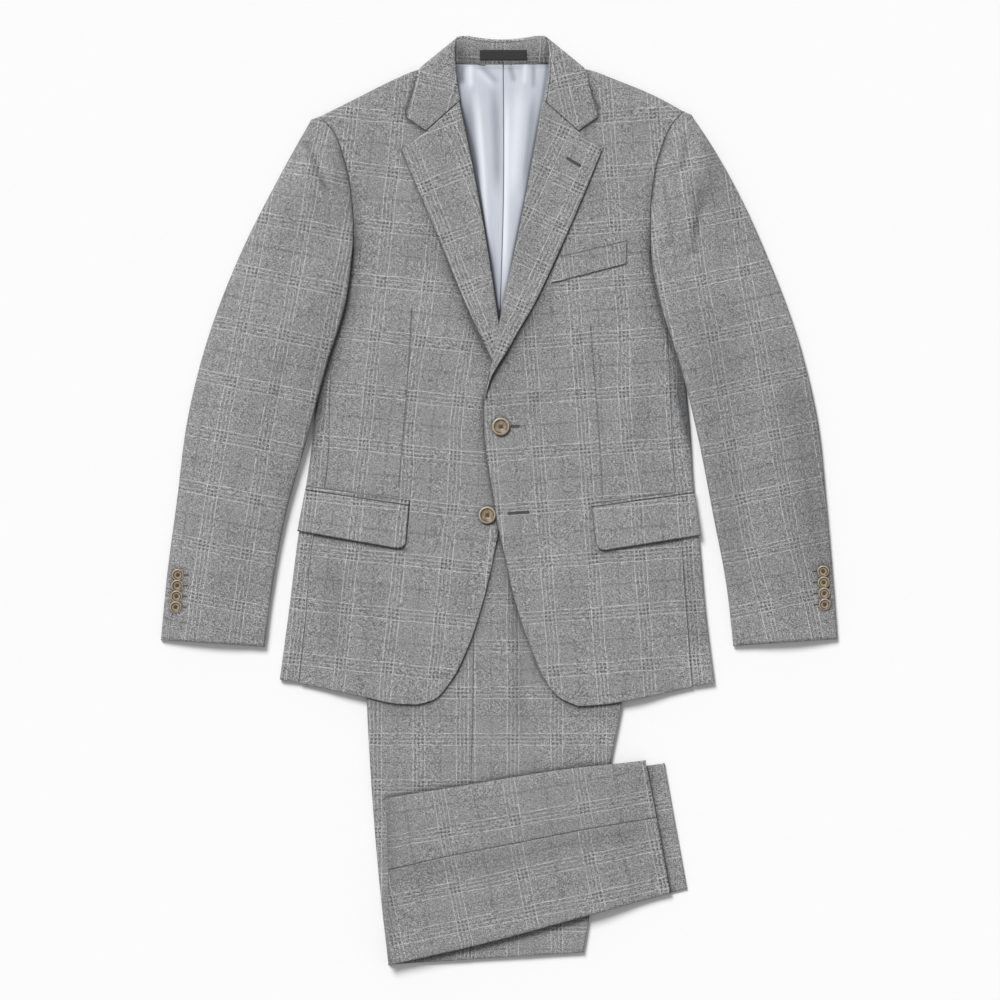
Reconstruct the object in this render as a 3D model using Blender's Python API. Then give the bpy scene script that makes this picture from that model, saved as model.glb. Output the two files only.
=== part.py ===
"""A two-piece suit laid flat: a two-button jacket, face up, with its trousers inside.

The jacket lies on its back. The trousers are folded lengthwise, run up inside the jacket as far as
the bottom of its opening, and come out under the hem, where their legs are folded up across them.
Sizes are in millimetres. +Z is up and +Y runs from the hem to the collar. Right and left are the
wearer's, so the right side of the suit is at -X.
"""
import math

import bmesh
import bpy
import numpy as np
from mathutils import Vector
from mathutils.bvhtree import BVHTree

MM = 0.001
GAP = 0.3  # between two pieces that touch

# thickness of each kind of wall
BACK_WALL = 1.5
LINING_WALL = 1.0
FRONT_WALL = 1.8
SIDE_WALL = 1.5
LAPEL_WALL = 1.8
COLLAR_WALL = 1.5
SLEEVE_WALL = 1.5
UNDER_SLEEVE_WALL = 1.2
FLAP_WALL = 1.4
TROUSER_WALL = 1.6
LABEL_WALL = 0.8

# heights of the layers above the floor
FRONT_LEVEL = 4.3  # underside of the fronts where only the back lies beneath them
SLEEVE_HEIGHT = 5.6  # a flattened sleeve, over both its walls
TROUSERS_HEIGHT = 5.8  # all the layers of the folded trousers
LEG_HEIGHT = 3.2  # each of the two legs that are folded up over them
LAPEL_LIFT = 2.2  # how far the soft roll stands off the front

NECK_X = 3.5  # the middle of the collar lies a little to the wearer's left
COLLAR_REACH = 106.0  # the shoulders are free of the collar this far from its middle
LAPEL_SET_BACK = 3.4  # a lapel turns over this far in front of the cut edge
LAPEL_TUCK = 1.6
COLLAR_TUCK = 3.4
WAIST_Y = 196.0
WAISTBAND = 38.0
UNDERARM_Y = 238.0
BACK_TURN = 28.0  # how far a side panel reaches in beneath the back
DRAPE = 40.0  # a sleeve comes down from the body's edge to the floor over this width
CUT_AWAY_Y = -38.0  # where the two fronts part below the buttons

# Outlines seen from above, each a list of (x, y). They run from the collar down to the hem.
ARMHOLE = {
    "right": [(-206, 442), (-192, 428), (-177, 392), (-168, 340), (-167, 305), (-171, 272),
              (-190, UNDERARM_Y)],
    "left": [(212, 448), (200, 435), (185, 402), (175, 348), (174, 308), (176, 272),
             (192, UNDERARM_Y)],
}
SHOULDER = {
    "right": [(-52, 529), (-97, 494.5), (-120, 485), (-166, 462), (-206, 442)],
    "left": [(57, 531), (104, 495.5), (133, 485), (187, 462), (212, 448)],
}
SIDE_SEAM = {
    "right": [(-190, UNDERARM_Y), (-194, 120), (-198, 30), (-213, -40), (-223, -144), (-229.5, -207)],
    "left": [(192, UNDERARM_Y), (197, 120), (202, 25), (209.5, -44), (217, -144), (222.5, -212)],
}
SIDE_EDGE = {
    "right": [(-205, UNDERARM_Y), (-208.5, 150), (-213, 84), (-222, 16), (-230, -35), (-242, -130),
              (-252, -205)],
    "left": [(207, UNDERARM_Y), (213, 150), (219.5, 84), (224, 15), (230, -40), (238, -130),
             (248, -209)],
}
HEM = {
    "right": [(-93, -233), (-119, -232), (-152, -225), (-229.5, -209)],
    "left": [(91, -235), (120, -233), (172, -224), (222.5, -213)],
}
FRONT_EDGE = {
    "right": [(16, 109), (15, 71), (7, 10), (-1, -38), (-9, -77), (-19, -118), (-37, -171), (-57, -209),
              (-72, -226), (-93, -233)],
    "left": [(-17, 109), (-16, 71), (-8, 15), (0.5, -35), (8, -67), (18, -112), (38, -171), (52, -203),
             (68, -224), (91, -235)],
}
ROLL_LINE = {
    "right": [(-45.5, 459.5), (-29, 379), (-14, 296), (-0.5, 208), (8.5, 147)],
    "left": [(50, 459.5), (34, 369), (14, 269), (0, 204), (-7, 164), (-16.5, 118)],
}
LAPEL_EDGE = {
    "right": [(-112, 404), (-93, 359), (-68, 300), (-42, 236), (-14, 175), (2, 142)],
    "left": [(118, 404), (104, 369), (68, 285), (38, 222), (21, 193), (7, 166), (-12, 119)],
}
# Where the shoulders pass inside the collar, as (distance from the middle of the neck, y)
COLLAR_SEAT = [(61.0, 511.0), (91.0, 490.0)]
FRONT_NECK = [(62.5, 514.5), (61.0, 503.0), (58.5, 485.0), (56.0, 471.0)]
NOTCH = {"right": (-84, 425), "left": (90, 426)}
SLEEVE_OUTER = {
    "right": [(-216, 438), (-232, 410), (-254, 370), (-300, 278), (-335, 186), (-358, 94), (-370, 2),
              (-382, -90), (-388.5, -159)],
    "left": [(221, 444), (240, 416), (267, 370), (310, 278), (344, 186), (366, 94), (376, 2),
             (384, -90), (389, -158)],
}
SLEEVE_INNER = {  # from the end of the sewn part
    "right": [(-169.5, 272), (-175, 232), (-199, 152), (-218, 79), (-245, -17), (-261, -105), (-269, -167)],
    "left": [(176, 270), (184, 232), (209, 152), (227, 79), (246, -17), (261, -96), (269, -166)],
}
TROUSERS_EDGE = {
    "right": [(-115, WAIST_Y), (-140, 100), (-150, 0), (-153, -110), (-152, -225), (-147, -320),
              (-136, -452), (-127, -532)],
    "left": [(115, WAIST_Y), (132, 100), (142, 0), (144, -110), (141.5, -228), (127, -305), (108, -452),
             (97, -518)],
}
TROUSERS_SEAM = [(-25, WAIST_Y), (-27, 0), (-29, -170), (-30, -251), (-32, -324), (-33, -526)]

# The folded leg and the second leg under it: corners and the seam along the upper one
LEG_TOP_EDGE = [(-129, -340), (-36, -325), (73, -307.5), (168, -297)]
LEG_BOTTOM_EDGE = [(-127, -532), (-9, -505), (100, -475.5), (197, -450)]
LEG_SEAM = [(-127.5, -423), (-63, -408), (24, -391), (100, -376), (181, -363)]
SECOND_LEG_TOP_EDGE = [(-112, -346), (40, -321), (190, -301)]
SECOND_LEG_BOTTOM_EDGE = [(-104, -519), (60, -484), (216, -445)]

# The collar, for the right side and mirrored about NECK_X: the crease where it folds over its stand,
# its free edge, and its turn past the shoulder, in degrees (0 on the front, 180 beneath the back)
COLLAR_STATIONS = [
    # crease x, crease y, edge x, edge y, turn
    (-45.2, 460.3, -106.0, 441.0, 0),
    (-47.5, 474.0, -101.5, 458.0, 0),
    (-49.5, 490.0, -97.5, 474.0, 0),
    (-51.0, 510.0, -95.2, 484.0, 0),
    (-51.3, 519.0, -94.2, 489.6, 0),
    (-50.5, 527.0, -92.0, 494.7, 45),
    (-48.7, 532.0, -90.5, 497.8, 90),
    (-47.0, 533.6, -88.3, 497.2, 135),
    (-42.0, 534.3, -85.0, 494.0, 180),
    (-27.0, 532.8, -55.0, 488.0, 180),
    (-12.0, 531.0, -24.0, 486.0, 180),
    (3.5, 530.3, 3.5, 485.5, 180),
]

POCKETS = {
    # the jet's upper line, its lower line, then the flap's lower edge: (outer x, y), (inner x, y)
    "right": {"upper": ((-221.5, 18.5), (-102.0, 1.5)), "lower": ((-222.5, 13.5), (-103.0, -4.5)),
              "flap": ((-231.5, -34.0), (-106.5, -56.0))},
    "left": {"upper": ((224.0, 14.0), (105.0, -2.0)), "lower": ((224.5, 10.0), (105.5, -6.5)),
             "flap": ((231.5, -39.0), (111.0, -58.0))},
}
BREAST_WELT = {"upper": [(68.5, 281.0), (147, 300)], "lower": [(58.5, 250.5), (146, 273)]}
LABEL = {"left": -22.0, "right": 32.0, "top": 518.5, "bottom": 507.0}

BUTTONS = [
    # name, x, y, radius, thickness
    ("button_front_top", 2.0, 86.0, 10.2, 3.4),
    ("button_front_bottom", -13.6, -15.5, 10.0, 3.4),
]
CUFF_BUTTONS = {"right": [(-368.5, -84), (-371.0, -121)], "left": [(372.0, -80), (373.8, -118)]}
CUFF_BUTTON_RADIUS = 6.9
CUFF_BUTTON_THICKNESS = 2.3
CUFF_BUTTON_TILT = 9.0
CUFF_BUTTON_COUNT = 4

SIDES = {"right": -1, "left": 1}


# ---------------------------------------------------------------- curves and levels

def ease(t):
    """0 before 0, 1 after 1, and a smooth rise between."""
    t = min(max(t, 0.0), 1.0)
    return t * t * (3 - 2 * t)


def rise(value, start, over):
    """0 up to start, 1 from start + over on."""
    return ease((value - start) / over)


def mix(a, b, t):
    return a + (b - a) * t


def curve(points):
    """The smooth curve through some points, as a function of 0 to 1 along its length."""
    p = np.array(points, float)
    if len(p) == 2:
        dense = np.linspace(p[0], p[1], 9)
    else:
        chord = np.linalg.norm(np.diff(p, axis=0), axis=1)
        knots = np.concatenate([[0], np.cumsum(chord)])
        tangent = np.gradient(p, knots, axis=0, edge_order=1)
        dense = []
        for i, length in enumerate(chord):
            for t in np.linspace(0, 1, 12, endpoint=(i == len(chord) - 1)):
                a, b = 2 * t**3 - 3 * t**2 + 1, t**3 - 2 * t**2 + t
                c, d = 3 * t**2 - 2 * t**3, t**3 - t**2
                pull = b * tangent[i] + d * tangent[i + 1]
                dense.append(a * p[i] + c * p[i + 1] + length * pull)
        dense = np.array(dense)
    run = np.concatenate([[0], np.cumsum(np.linalg.norm(np.diff(dense, axis=0), axis=1))])
    run /= run[-1]
    return lambda t: np.array([np.interp(t, run, dense[:, 0]), np.interp(t, run, dense[:, 1])])


def x_of_y(points):
    """The x of an outline at a height y, for outlines that only run downwards."""
    line = curve(points)
    samples = np.array([line(t) for t in np.linspace(0, 1, 80)])[::-1]
    return lambda y: float(np.interp(y, samples[:, 1], samples[:, 0]))


TROUSERS_X = {side: x_of_y(points) for side, points in TROUSERS_EDGE.items()}
BODY_X = {
    side: x_of_y([(SIDES[side] * 167, 330), (SIDES[side] * 172, 280)] + points)
    for side, points in SIDE_EDGE.items()
}
RIGHT_EDGE_X = x_of_y(FRONT_EDGE["right"][:4])
SHOULDER_Y = {
    side: (lambda x, pts=sorted(points): float(np.interp(x, [p[0] for p in pts], [p[1] for p in pts])))
    for side, points in SHOULDER.items()
}


def past_collar(x):
    """0 where the collar wraps the shoulder, 1 further out."""
    return rise(abs(x - NECK_X), COLLAR_REACH, 24)


def back_floor(x, y):
    """Underside of the back: on the floor, and over the collar's fall at the neck."""
    from_neck = min(max((y - 446) / 34, 0), 1)
    return (BACK_WALL + GAP) * from_neck * (1 - past_collar(x))


def trousers_floor(y):
    """Underside of the trousers: on the back inside the jacket, on the floor outside it."""
    return (BACK_WALL + GAP) * rise(y, -252, 32)


def over_trousers(x, y):
    """1 above the trousers, falling to 0 beyond their edges."""
    across = max(TROUSERS_X["right"](y) - x, x - TROUSERS_X["left"](y))
    return (1 - rise(across, 16, 42)) * (1 - rise(y, WAIST_Y + 14, 45))


def right_front_floor(x, y):
    """Underside of the fronts, where nothing but the back and the trousers is beneath."""
    swell = BACK_WALL + TROUSERS_HEIGHT + 2 * GAP - FRONT_LEVEL
    side = "right" if x < 0 else "left"
    from_shoulder = SHOULDER_Y[side](x) - y
    drop = (FRONT_LEVEL - BACK_WALL - 3 * GAP) * (1 - rise(from_shoulder, 0, 6.7)) * past_collar(x)
    return FRONT_LEVEL + swell * over_trousers(x, y) - drop


def left_front_floor(x, y):
    """The left front laps over the right one, and at the crossing over its lapel too."""
    lap = FRONT_WALL + GAP
    crossing = 1 - rise(y, 222, 45)
    over_front = (1 - rise(x, RIGHT_EDGE_X(y) + 6, 50)) * rise(y, CUT_AWAY_Y - 32, 30)
    over_lapel = (1 - rise(x, 20, 45)) * rise(y, 90, 40)
    return right_front_floor(x, y) + lap * (over_front + 1.3 * over_lapel) * crossing


FRONT_FLOOR = {"right": right_front_floor, "left": left_front_floor}


def lying_on(*names):
    """The height of the uppermost of some panels at (x, y), for what lies on them."""
    depsgraph = bpy.context.evaluated_depsgraph_get()
    trees = [BVHTree.FromObject(bpy.data.objects[name], depsgraph) for name in names]
    down, above = Vector((0, 0, -1)), 0.1

    def level(x, y):
        hits = [tree.ray_cast(Vector((x * MM, y * MM, above)), down)[0] for tree in trees]
        heights = [hit.z / MM for hit in hits if hit]
        return max(heights) if heights else None

    return level


def front_face(side):
    """The upper surface of a front and its side panel, which lapels, flaps and buttons lie on."""
    level = lying_on(f"front_{side}", f"side_{side}")

    def face(x, y):
        height = level(x, y)
        return FRONT_FLOOR[side](x, y) + FRONT_WALL if height is None else height

    return face


def sleeve_head(y):
    """1 along the armhole, where the sleeve is sewn to the front, and 0 below the underarm."""
    return rise(y, 298, 26)


def sleeve_floor(side):
    """Underside of a sleeve: over the edge of the body, then down on the floor."""
    height = FRONT_LEVEL + FRONT_WALL + GAP

    def level(x, y):
        outside = abs(x) - abs(BODY_X[side](y))
        return height * (1 - rise(outside, 2, DRAPE)) * (1 - sleeve_head(y))

    return level


def stand_face(x, y):
    """Upper surface of the collar stand, which leans up towards the fold."""
    return 5.1 + 0.7 * (y - 503) / 27


def legs_floor(x, y):
    """Underside of the folded legs: on the trousers, then down on the floor beside them."""
    outside = x - TROUSERS_X["left"](y)
    return (TROUSERS_HEIGHT + GAP) * (1 - rise(outside, 2, 66))


# ---------------------------------------------------------------- building

def material(name, colour, roughness, metallic=0.0):
    made = bpy.data.materials.new(name)
    made.use_nodes = True
    shader = made.node_tree.nodes["Principled BSDF"]
    shader.inputs["Base Color"].default_value = (*colour, 1)
    shader.inputs["Roughness"].default_value = roughness
    shader.inputs["Metallic"].default_value = metallic
    return made


# The rows that the front, the side panel, the back and the sleeve head share along their seams
ROWS = 22
UNDERARM_ROW = 8
SEWN_ROWS = 6  # as far down the armhole as the sleeve lies edge to edge with the front

CLOTH = (0.32, 0.325, 0.33)
SATIN = (0.62, 0.66, 0.73)
HORN = (0.36, 0.27, 0.18)
LABEL_COLOUR = (0.03, 0.03, 0.035)


def add_object(name, bm, colour, roughness, smooth_angle=40):
    bmesh.ops.recalc_face_normals(bm, faces=bm.faces[:])
    if bm.calc_volume(signed=True) < 0:
        bmesh.ops.reverse_faces(bm, faces=bm.faces[:])
    mesh = bpy.data.meshes.new(name)
    bm.to_mesh(mesh)
    bm.free()
    mesh.shade_smooth()
    mesh.set_sharp_from_angle(angle=math.radians(smooth_angle))
    made = bpy.data.objects.new(name, mesh)
    mesh.materials.append(material(name, colour, roughness))
    bpy.context.scene.collection.objects.link(made)
    return made


def body(name, across, along, place, colour=CLOTH, roughness=0.9, layers=()):
    """One closed piece between an outer and an inner face, both laid out on the same grid.

    across and along are the grid's stations. place(u, v, depth) gives a point in mm, at depth 0 on the
    outer face, 1 on the inner one, and at the fractions in layers on the rim between them.
    """
    bm = bmesh.new()
    columns, rows = len(across) - 1, len(along) - 1
    bmesh.ops.create_grid(bm, x_segments=columns, y_segments=rows, size=0.5)
    grown = bmesh.ops.extrude_face_region(bm, geom=bm.faces[:])
    inner = [v for v in grown["geom"] if isinstance(v, bmesh.types.BMVert)]
    bmesh.ops.translate(bm, verts=inner, vec=(0, 0, -1))
    if layers:
        upright = [e for e in bm.edges if abs(e.verts[0].co.z - e.verts[1].co.z) > 0.5]
        bmesh.ops.subdivide_edges(bm, edges=upright, cuts=len(layers), use_grid_fill=True)
    for v in bm.verts:
        u = across[round((v.co.x + 0.5) * columns)]
        t = along[rows - round((v.co.y + 0.5) * rows)]
        step = round(-v.co.z * (len(layers) + 1))
        depth = (0, *layers, 1)[step]
        v.co = Vector(place(u, t, depth)) * MM
    return add_object(name, bm, colour, roughness)


def stations(count, dense_start=(), dense_end=()):
    """Even fractions from 0 to 1, with closer ones near the two ends."""
    even = [i / count for i in range(count + 1)]
    return [0, *dense_start, *even[1:-1], *[1 - d for d in reversed(dense_end)], 1]


def sheet(name, plan, floor, wall, across, along, **finish):
    """A wall of cloth whose underside lies at floor(x, y), over the plan(u, v) of its outline."""

    def place(u, v, depth):
        x, y = plan(u, v)
        return x, y, floor(x, y) + wall * (1 - depth)

    return body(name, across, along, place, **finish)


def ruled(first, second):
    """A plan between two curves, with u from the first to the second and v along them."""
    return lambda u, v: mix(first(v), second(v), u)


def coons(first, second, top, bottom):
    """A plan inside four curves: u from first to second, v from top to bottom."""

    def plan(u, v):
        corners = ((1 - u) * (1 - v) * first(0) + u * (1 - v) * second(0)
                   + (1 - u) * v * first(1) + u * v * second(1))
        return mix(first(v), second(v), u) + mix(top(u), bottom(u), v) - corners

    return plan


def folded(name, first, second, top, foot, wall, along, middle, first_fold=1, second_fold=1, **finish):
    """A wall that is folded down to foot(x, y) along its first or second edge, or both.

    A fold is 1 for a round edge that turns down, 0 for a cut one, or a function of v that blends them.
    """
    radius = 5.0
    near = [0.0, 0.4, 1.8, radius]
    across = [("first", s) for s in near] if first_fold else [("middle", 0.0)]
    across += [("middle", f) for f in middle]
    across += [("second", s) for s in reversed(near)] if second_fold else [("middle", 1.0)]
    folds = [f if callable(f) else (lambda v, f=f: f) for f in (first_fold, second_fold)]

    def place(station, v, depth):
        kind, value = station
        a, b = first(v), second(v)
        width = float(np.linalg.norm(b - a))
        reach = min(1.0, 0.3 * width / radius)
        start, end = (fold(v) for fold in folds)
        inset_a, inset_b = depth * wall * start, depth * wall * end
        run = width - inset_a - inset_b
        if kind == "first":
            s = value * reach
        elif kind == "second":
            s = run - value * reach
        else:
            lo, hi = (radius * reach if first_fold else 0), (radius * reach if second_fold else 0)
            s = mix(lo, run - hi, value)
        x, y = a + (b - a) * (inset_a + s) / width
        edge = 1.0
        for distance, fold in ((s, start), (run - s, end)):
            part = min(distance / (radius * reach), 1.0)
            edge *= mix(1.0, math.sqrt(max(0.0, 1 - (1 - part) ** 2)), fold)
        high = top(x, y, v) - depth * wall
        low = mix(high, foot(x, y), max(start if s < width / 2 else 0, end if s >= width / 2 else 0))
        return x, y, mix(low, high, edge)

    return body(name, across, along, place, **finish)


# ---------------------------------------------------------------- the jacket's body

def body_rows():
    return stations(ROWS, (0.004, 0.012))


def joined(first, second, at):
    """Two curves end to end, the first over v up to at and the second after it."""
    return lambda v: first(v / at) if v <= at else second((v - at) / (1 - at))


def side_line(side, shift=0.0):
    """Armhole and side seam, moved out by shift."""
    sign = SIDES[side]
    line = joined(curve(ARMHOLE[side]), curve(SIDE_SEAM[side]), UNDERARM_ROW / ROWS)
    return lambda v: line(v) + np.array([sign * shift, 0])


def under_seam(side, shift=0.0):
    """The seam of the back and the side panel, beneath the jacket."""
    sign = SIDES[side]
    points = [(x - sign * BACK_TURN, y) for x, y in SIDE_EDGE[side]]
    points[-1] = (points[-1][0], -203)
    seam = curve(points)
    return lambda v: seam(v) + np.array([sign * shift, 0])


def make_back(side):
    sign = SIDES[side]
    armhole = curve(ARMHOLE[side][:5] + [tuple(under_seam(side)(0))])
    outer = joined(armhole, under_seam(side), UNDERARM_ROW / ROWS)
    middle = curve([(NECK_X + sign * GAP / 2, 502.5), (sign * GAP / 2, 330), (sign * GAP / 2, -212)])
    neck = [(NECK_X + sign * x, y) for x, y in COLLAR_SEAT]
    shoulder = curve([tuple(middle(0)), (NECK_X + sign * 45, 502.5)] + neck + SHOULDER[side][1:])
    hem = curve([tuple(middle(1)), tuple(outer(1))])
    sheet(f"back_{side}", coons(middle, outer, shoulder, hem), back_floor, BACK_WALL,
          [0, 0.15, 0.3, 0.42, 0.55, 0.75, 1], body_rows())


def make_lining(side):
    sign = SIDES[side]
    half = GAP / 2
    seam = curve([(5 + sign * half, 502.2), (5.5 + sign * half, 370), (1 + sign * half, 201)])
    edge = curve([(NECK_X + sign * 50, 502.2), (NECK_X + sign * 49, 478), (NECK_X + sign * 55, 452),
                  (NECK_X + sign * 50, 370), (sign * 24, 201)])
    sheet(f"lining_{side}", ruled(seam, edge), lambda x, y: back_floor(x, y) + BACK_WALL + 2 * GAP,
          LINING_WALL, stations(3), stations(8, (0.03, 0.075)), colour=SATIN, roughness=0.35)


def make_side(side):
    """The side panel wraps the edge of the body: over the front, round, and in beneath the back."""
    sign = SIDES[side]
    line, edge, under = side_line(side, GAP), curve(SIDE_EDGE[side]), under_seam(side, GAP)
    first = UNDERARM_ROW / ROWS
    turns = [-90, -54, -18, 18, 54, 90]
    across = [("top", 0)] + [("turn", a) for a in turns] + [("under", 1.0)]
    rows = [v for v in body_rows() if v >= first]

    def place(station, v, depth):
        kind, value = station
        share = (v - first) / (1 - first)
        front, rim = line(v), edge(share)
        height = FRONT_FLOOR[side](*front) + FRONT_WALL
        radius = height / 2
        wall = SIDE_WALL * depth
        centre_x = rim[0] - sign * radius
        if kind == "top":
            return front[0], front[1], height - wall
        if kind == "under":
            x, y = under(share)
            return x, y, wall
        angle = math.radians(-value)
        arm = radius - wall
        return centre_x + sign * arm * math.cos(angle), rim[1], radius + arm * math.sin(angle)

    body(f"side_{side}", across, rows, place)


def make_front(side):
    sign = SIDES[side]
    roll = curve(ROLL_LINE[side])

    def under_roll(t):
        x, y = roll(t)
        return x + sign * LAPEL_SET_BACK * rise(y, 90, 40), y

    neck = [(NECK_X + sign * x, y) for x, y in FRONT_NECK]
    inner = curve(neck + [under_roll(t) for t in (0.08, 0.25, 0.5, 0.75, 1.0)] + FRONT_EDGE[side])
    seat = [(NECK_X + sign * x, y) for x, y in COLLAR_SEAT[1:]]
    shoulder = curve(neck[:1] + seat + SHOULDER[side][1:])
    hem = curve(HEM[side])
    sheet(f"front_{side}", coons(inner, side_line(side), shoulder, hem), FRONT_FLOOR[side], FRONT_WALL,
          [0, 0.035, 0.08, 0.14, 0.22, 0.34, 0.5, 0.65, 0.78, 0.9, 1], body_rows())


# ---------------------------------------------------------------- lapels and collar

def turned_strip(name, rows, wall, tuck, **finish):
    """A strip folded along one edge: it lies flat, turns over its fold and tucks in beneath itself.

    Each row is (points, flat, tucked): plan points from the fold to the free edge, the height of the
    middle of the wall at each of them, and the height of the tucked end.
    """
    bm = bmesh.new()
    count = len(rows[0][0])
    turn = 3
    bmesh.ops.create_grid(bm, x_segments=count + turn - 1, y_segments=len(rows) - 1, size=0.5)
    for v in bm.verts:
        i = round((v.co.x + 0.5) * (count + turn - 1))
        j = round((0.5 - v.co.y) * (len(rows) - 1))
        points, flat, tucked = rows[j]
        fold = np.array(points[0], float)
        outward = np.array(points[1], float) - fold
        outward /= np.linalg.norm(outward)
        if i > turn:
            x, y = points[i - turn]
            z = flat[i - turn]
        else:
            angle = math.pi * i / turn  # from the tucked end, round the fold, to the flat
            middle, radius = (flat[0] + tucked) / 2, (flat[0] - tucked) / 2
            x, y = fold + outward * tuck * (1 - math.sin(angle))
            z = middle - radius * math.cos(angle)
        v.co = Vector((x, y, z)) * MM
    made = add_object(name, bm, **finish)
    solid = made.modifiers.new("wall", "SOLIDIFY")
    solid.thickness = wall * MM
    solid.offset = 0
    solid.use_even_offset = False
    return made


def make_lapel(side):
    roll, edge = curve(ROLL_LINE[side]), curve(LAPEL_EDGE[side])
    surface = front_face(side)
    sign = SIDES[side]
    notch = np.array(NOTCH[side], float)
    spread = (0, 0.12, 0.3, 0.5, 0.75, 1)
    roll_begins = {"right": (214, 40), "left": (118, 30)}  # y, and the height it grows over
    rows = []
    for v in stations(15, (0.02,)):
        a, b = roll(v), edge(v)
        width = float(np.linalg.norm(b - a))
        points = [mix(a, b, f) for f in spread]
        if v == 0:
            below_collar = np.array([0, -0.45])
            points = [mix(a, notch, f / 0.62) for f in spread[:4]] + [notch, b]
            points = [point + below_collar for point in points]
        soft = rise(a[1], *roll_begins[side])
        flat = []
        for f, (x, y) in zip(spread, points):
            lift = LAPEL_LIFT * soft * max(0.0, 1 - f * width / 26) ** 2
            flat.append(surface(x, y) + 3 * GAP + LAPEL_WALL / 2 + lift)
        under = FRONT_FLOOR[side](a[0] + sign * LAPEL_SET_BACK, a[1]) + LAPEL_WALL / 2 + 0.1
        rows.append((points, flat, under))
    turned_strip(f"lapel_{side}", rows, LAPEL_WALL, LAPEL_TUCK, colour=CLOTH, roughness=0.9)


def make_collar():
    """Both leaves and the fall between them are one strip, which wraps the shoulders."""
    leaf = FRONT_LEVEL + FRONT_WALL + GAP + COLLAR_WALL / 2 + 0.1
    fall = COLLAR_WALL / 2
    middle, radius = (leaf + fall) / 2, (leaf - fall) / 2
    spread = (0, 0.12, 0.4, 0.62, 0.85, 1)

    def row(crease_x, crease_y, edge_x, edge_y, turn, sign):
        angle = math.radians(turn)
        crease = np.array([crease_x, crease_y])
        edge = np.array([edge_x, edge_y])
        points = [mix(crease, edge, f) for f in spread]
        if turn == 0 and crease_y < 465:
            notch = np.array(NOTCH["right"]) + np.array([0, 0.3])
            points = [mix(crease, notch, min(f / 0.62, 1)) for f in spread[:4]]
            points += [mix(notch, edge, f) for f in (0.6, 1)]
        height = middle + radius * math.cos(angle)
        tucked = mix(5.3, 5.05, turn / 180)
        placed = [(NECK_X + sign * (NECK_X - p[0]), p[1]) if sign > 0 else tuple(p) for p in points]
        return placed, [height] * len(placed), tucked

    rows = [row(*station, -1) for station in COLLAR_STATIONS]
    rows += [row(*station, 1) for station in reversed(COLLAR_STATIONS[:-1])]
    turned_strip("collar", rows, COLLAR_WALL, COLLAR_TUCK, colour=CLOTH, roughness=0.9)


def make_stand():
    top = curve([(-46.5, 528.0), (-36, 529.6), (-22, 528.2), (5, 525.6), (31, 528.2), (43, 529.6),
                 (53.5, 528.0)])
    bottom = curve([(-47.5, 503.6), (-28, 502.9), (5, 502.9), (35, 502.9), (54.5, 503.6)])
    sheet("collar_stand", ruled(top, bottom), lambda x, y: stand_face(x, y) - COLLAR_WALL, COLLAR_WALL,
          stations(3), stations(12))


def make_label():
    left, right = LABEL["left"], LABEL["right"]
    plan = ruled(curve([(left, LABEL["top"]), (left, LABEL["bottom"])]),
                 curve([(right, LABEL["top"]), (right, LABEL["bottom"])]))
    sheet("label", plan, lambda x, y: stand_face(x, y) + GAP, LABEL_WALL, stations(4), stations(1),
          colour=LABEL_COLOUR, roughness=0.7)


# ---------------------------------------------------------------- sleeves

def make_sleeve(side):
    """The top sleeve is an arch folded down along both edges, and the under sleeve closes it below."""
    sewn = [v for v in body_rows() if v <= SEWN_ROWS / ROWS]
    along = sewn + [mix(sewn[-1], 1, i / 13) for i in range(1, 14)]
    outer = curve(SLEEVE_OUTER[side])
    free = curve([tuple(side_line(side, GAP)(sewn[-1]))] + SLEEVE_INNER[side])
    inner = joined(lambda t: side_line(side, GAP)(t * sewn[-1]), free, sewn[-1])
    floor = sleeve_floor(side)
    seam_height = FRONT_LEVEL + FRONT_WALL

    def top(x, y, v):
        head = sleeve_head(inner(v)[1])
        from_seam = abs(x - inner(v)[0])
        return floor(x, y) + mix(SLEEVE_HEIGHT, seam_height + 1.1 * rise(from_seam, 0, 15), head)

    folded(f"sleeve_{side}_top", outer, inner, top, floor, SLEEVE_WALL, along, (0.25, 0.5, 0.72, 0.86),
           second_fold=lambda v: 1 - sleeve_head(inner(v)[1]))

    def under_plan(station, v):
        """Stations are 0 to 1 from the outer edge to the drape, then 1 to 2 over the drape."""
        a, b = outer(v), inner(v)
        width = float(np.linalg.norm(b - a))
        clear = SLEEVE_WALL + GAP
        inner_clear = mix(clear, 3 * GAP, rise(b[1], 326, 20))
        overlap = max(abs(BODY_X[side](b[1])) - abs(b[0]), 0) + 2
        drape_ends = min(overlap + DRAPE, 0.6 * width)
        if station <= 1:
            from_inner = mix(width - clear, drape_ends, station)
        elif station <= 2:
            from_inner = mix(drape_ends, min(overlap, 0.3 * width), station - 1)
        else:
            from_inner = inner_clear
        return mix(b, a, from_inner / width)

    sheet(f"sleeve_{side}_under", under_plan, floor, UNDER_SLEEVE_WALL,
          [0, 0.5, 1, 1.33, 1.67, 2, 3], along[2:])


# ---------------------------------------------------------------- pockets

def straight(a, b):
    return lambda t: mix(np.array(a, float), np.array(b, float), t)


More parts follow.
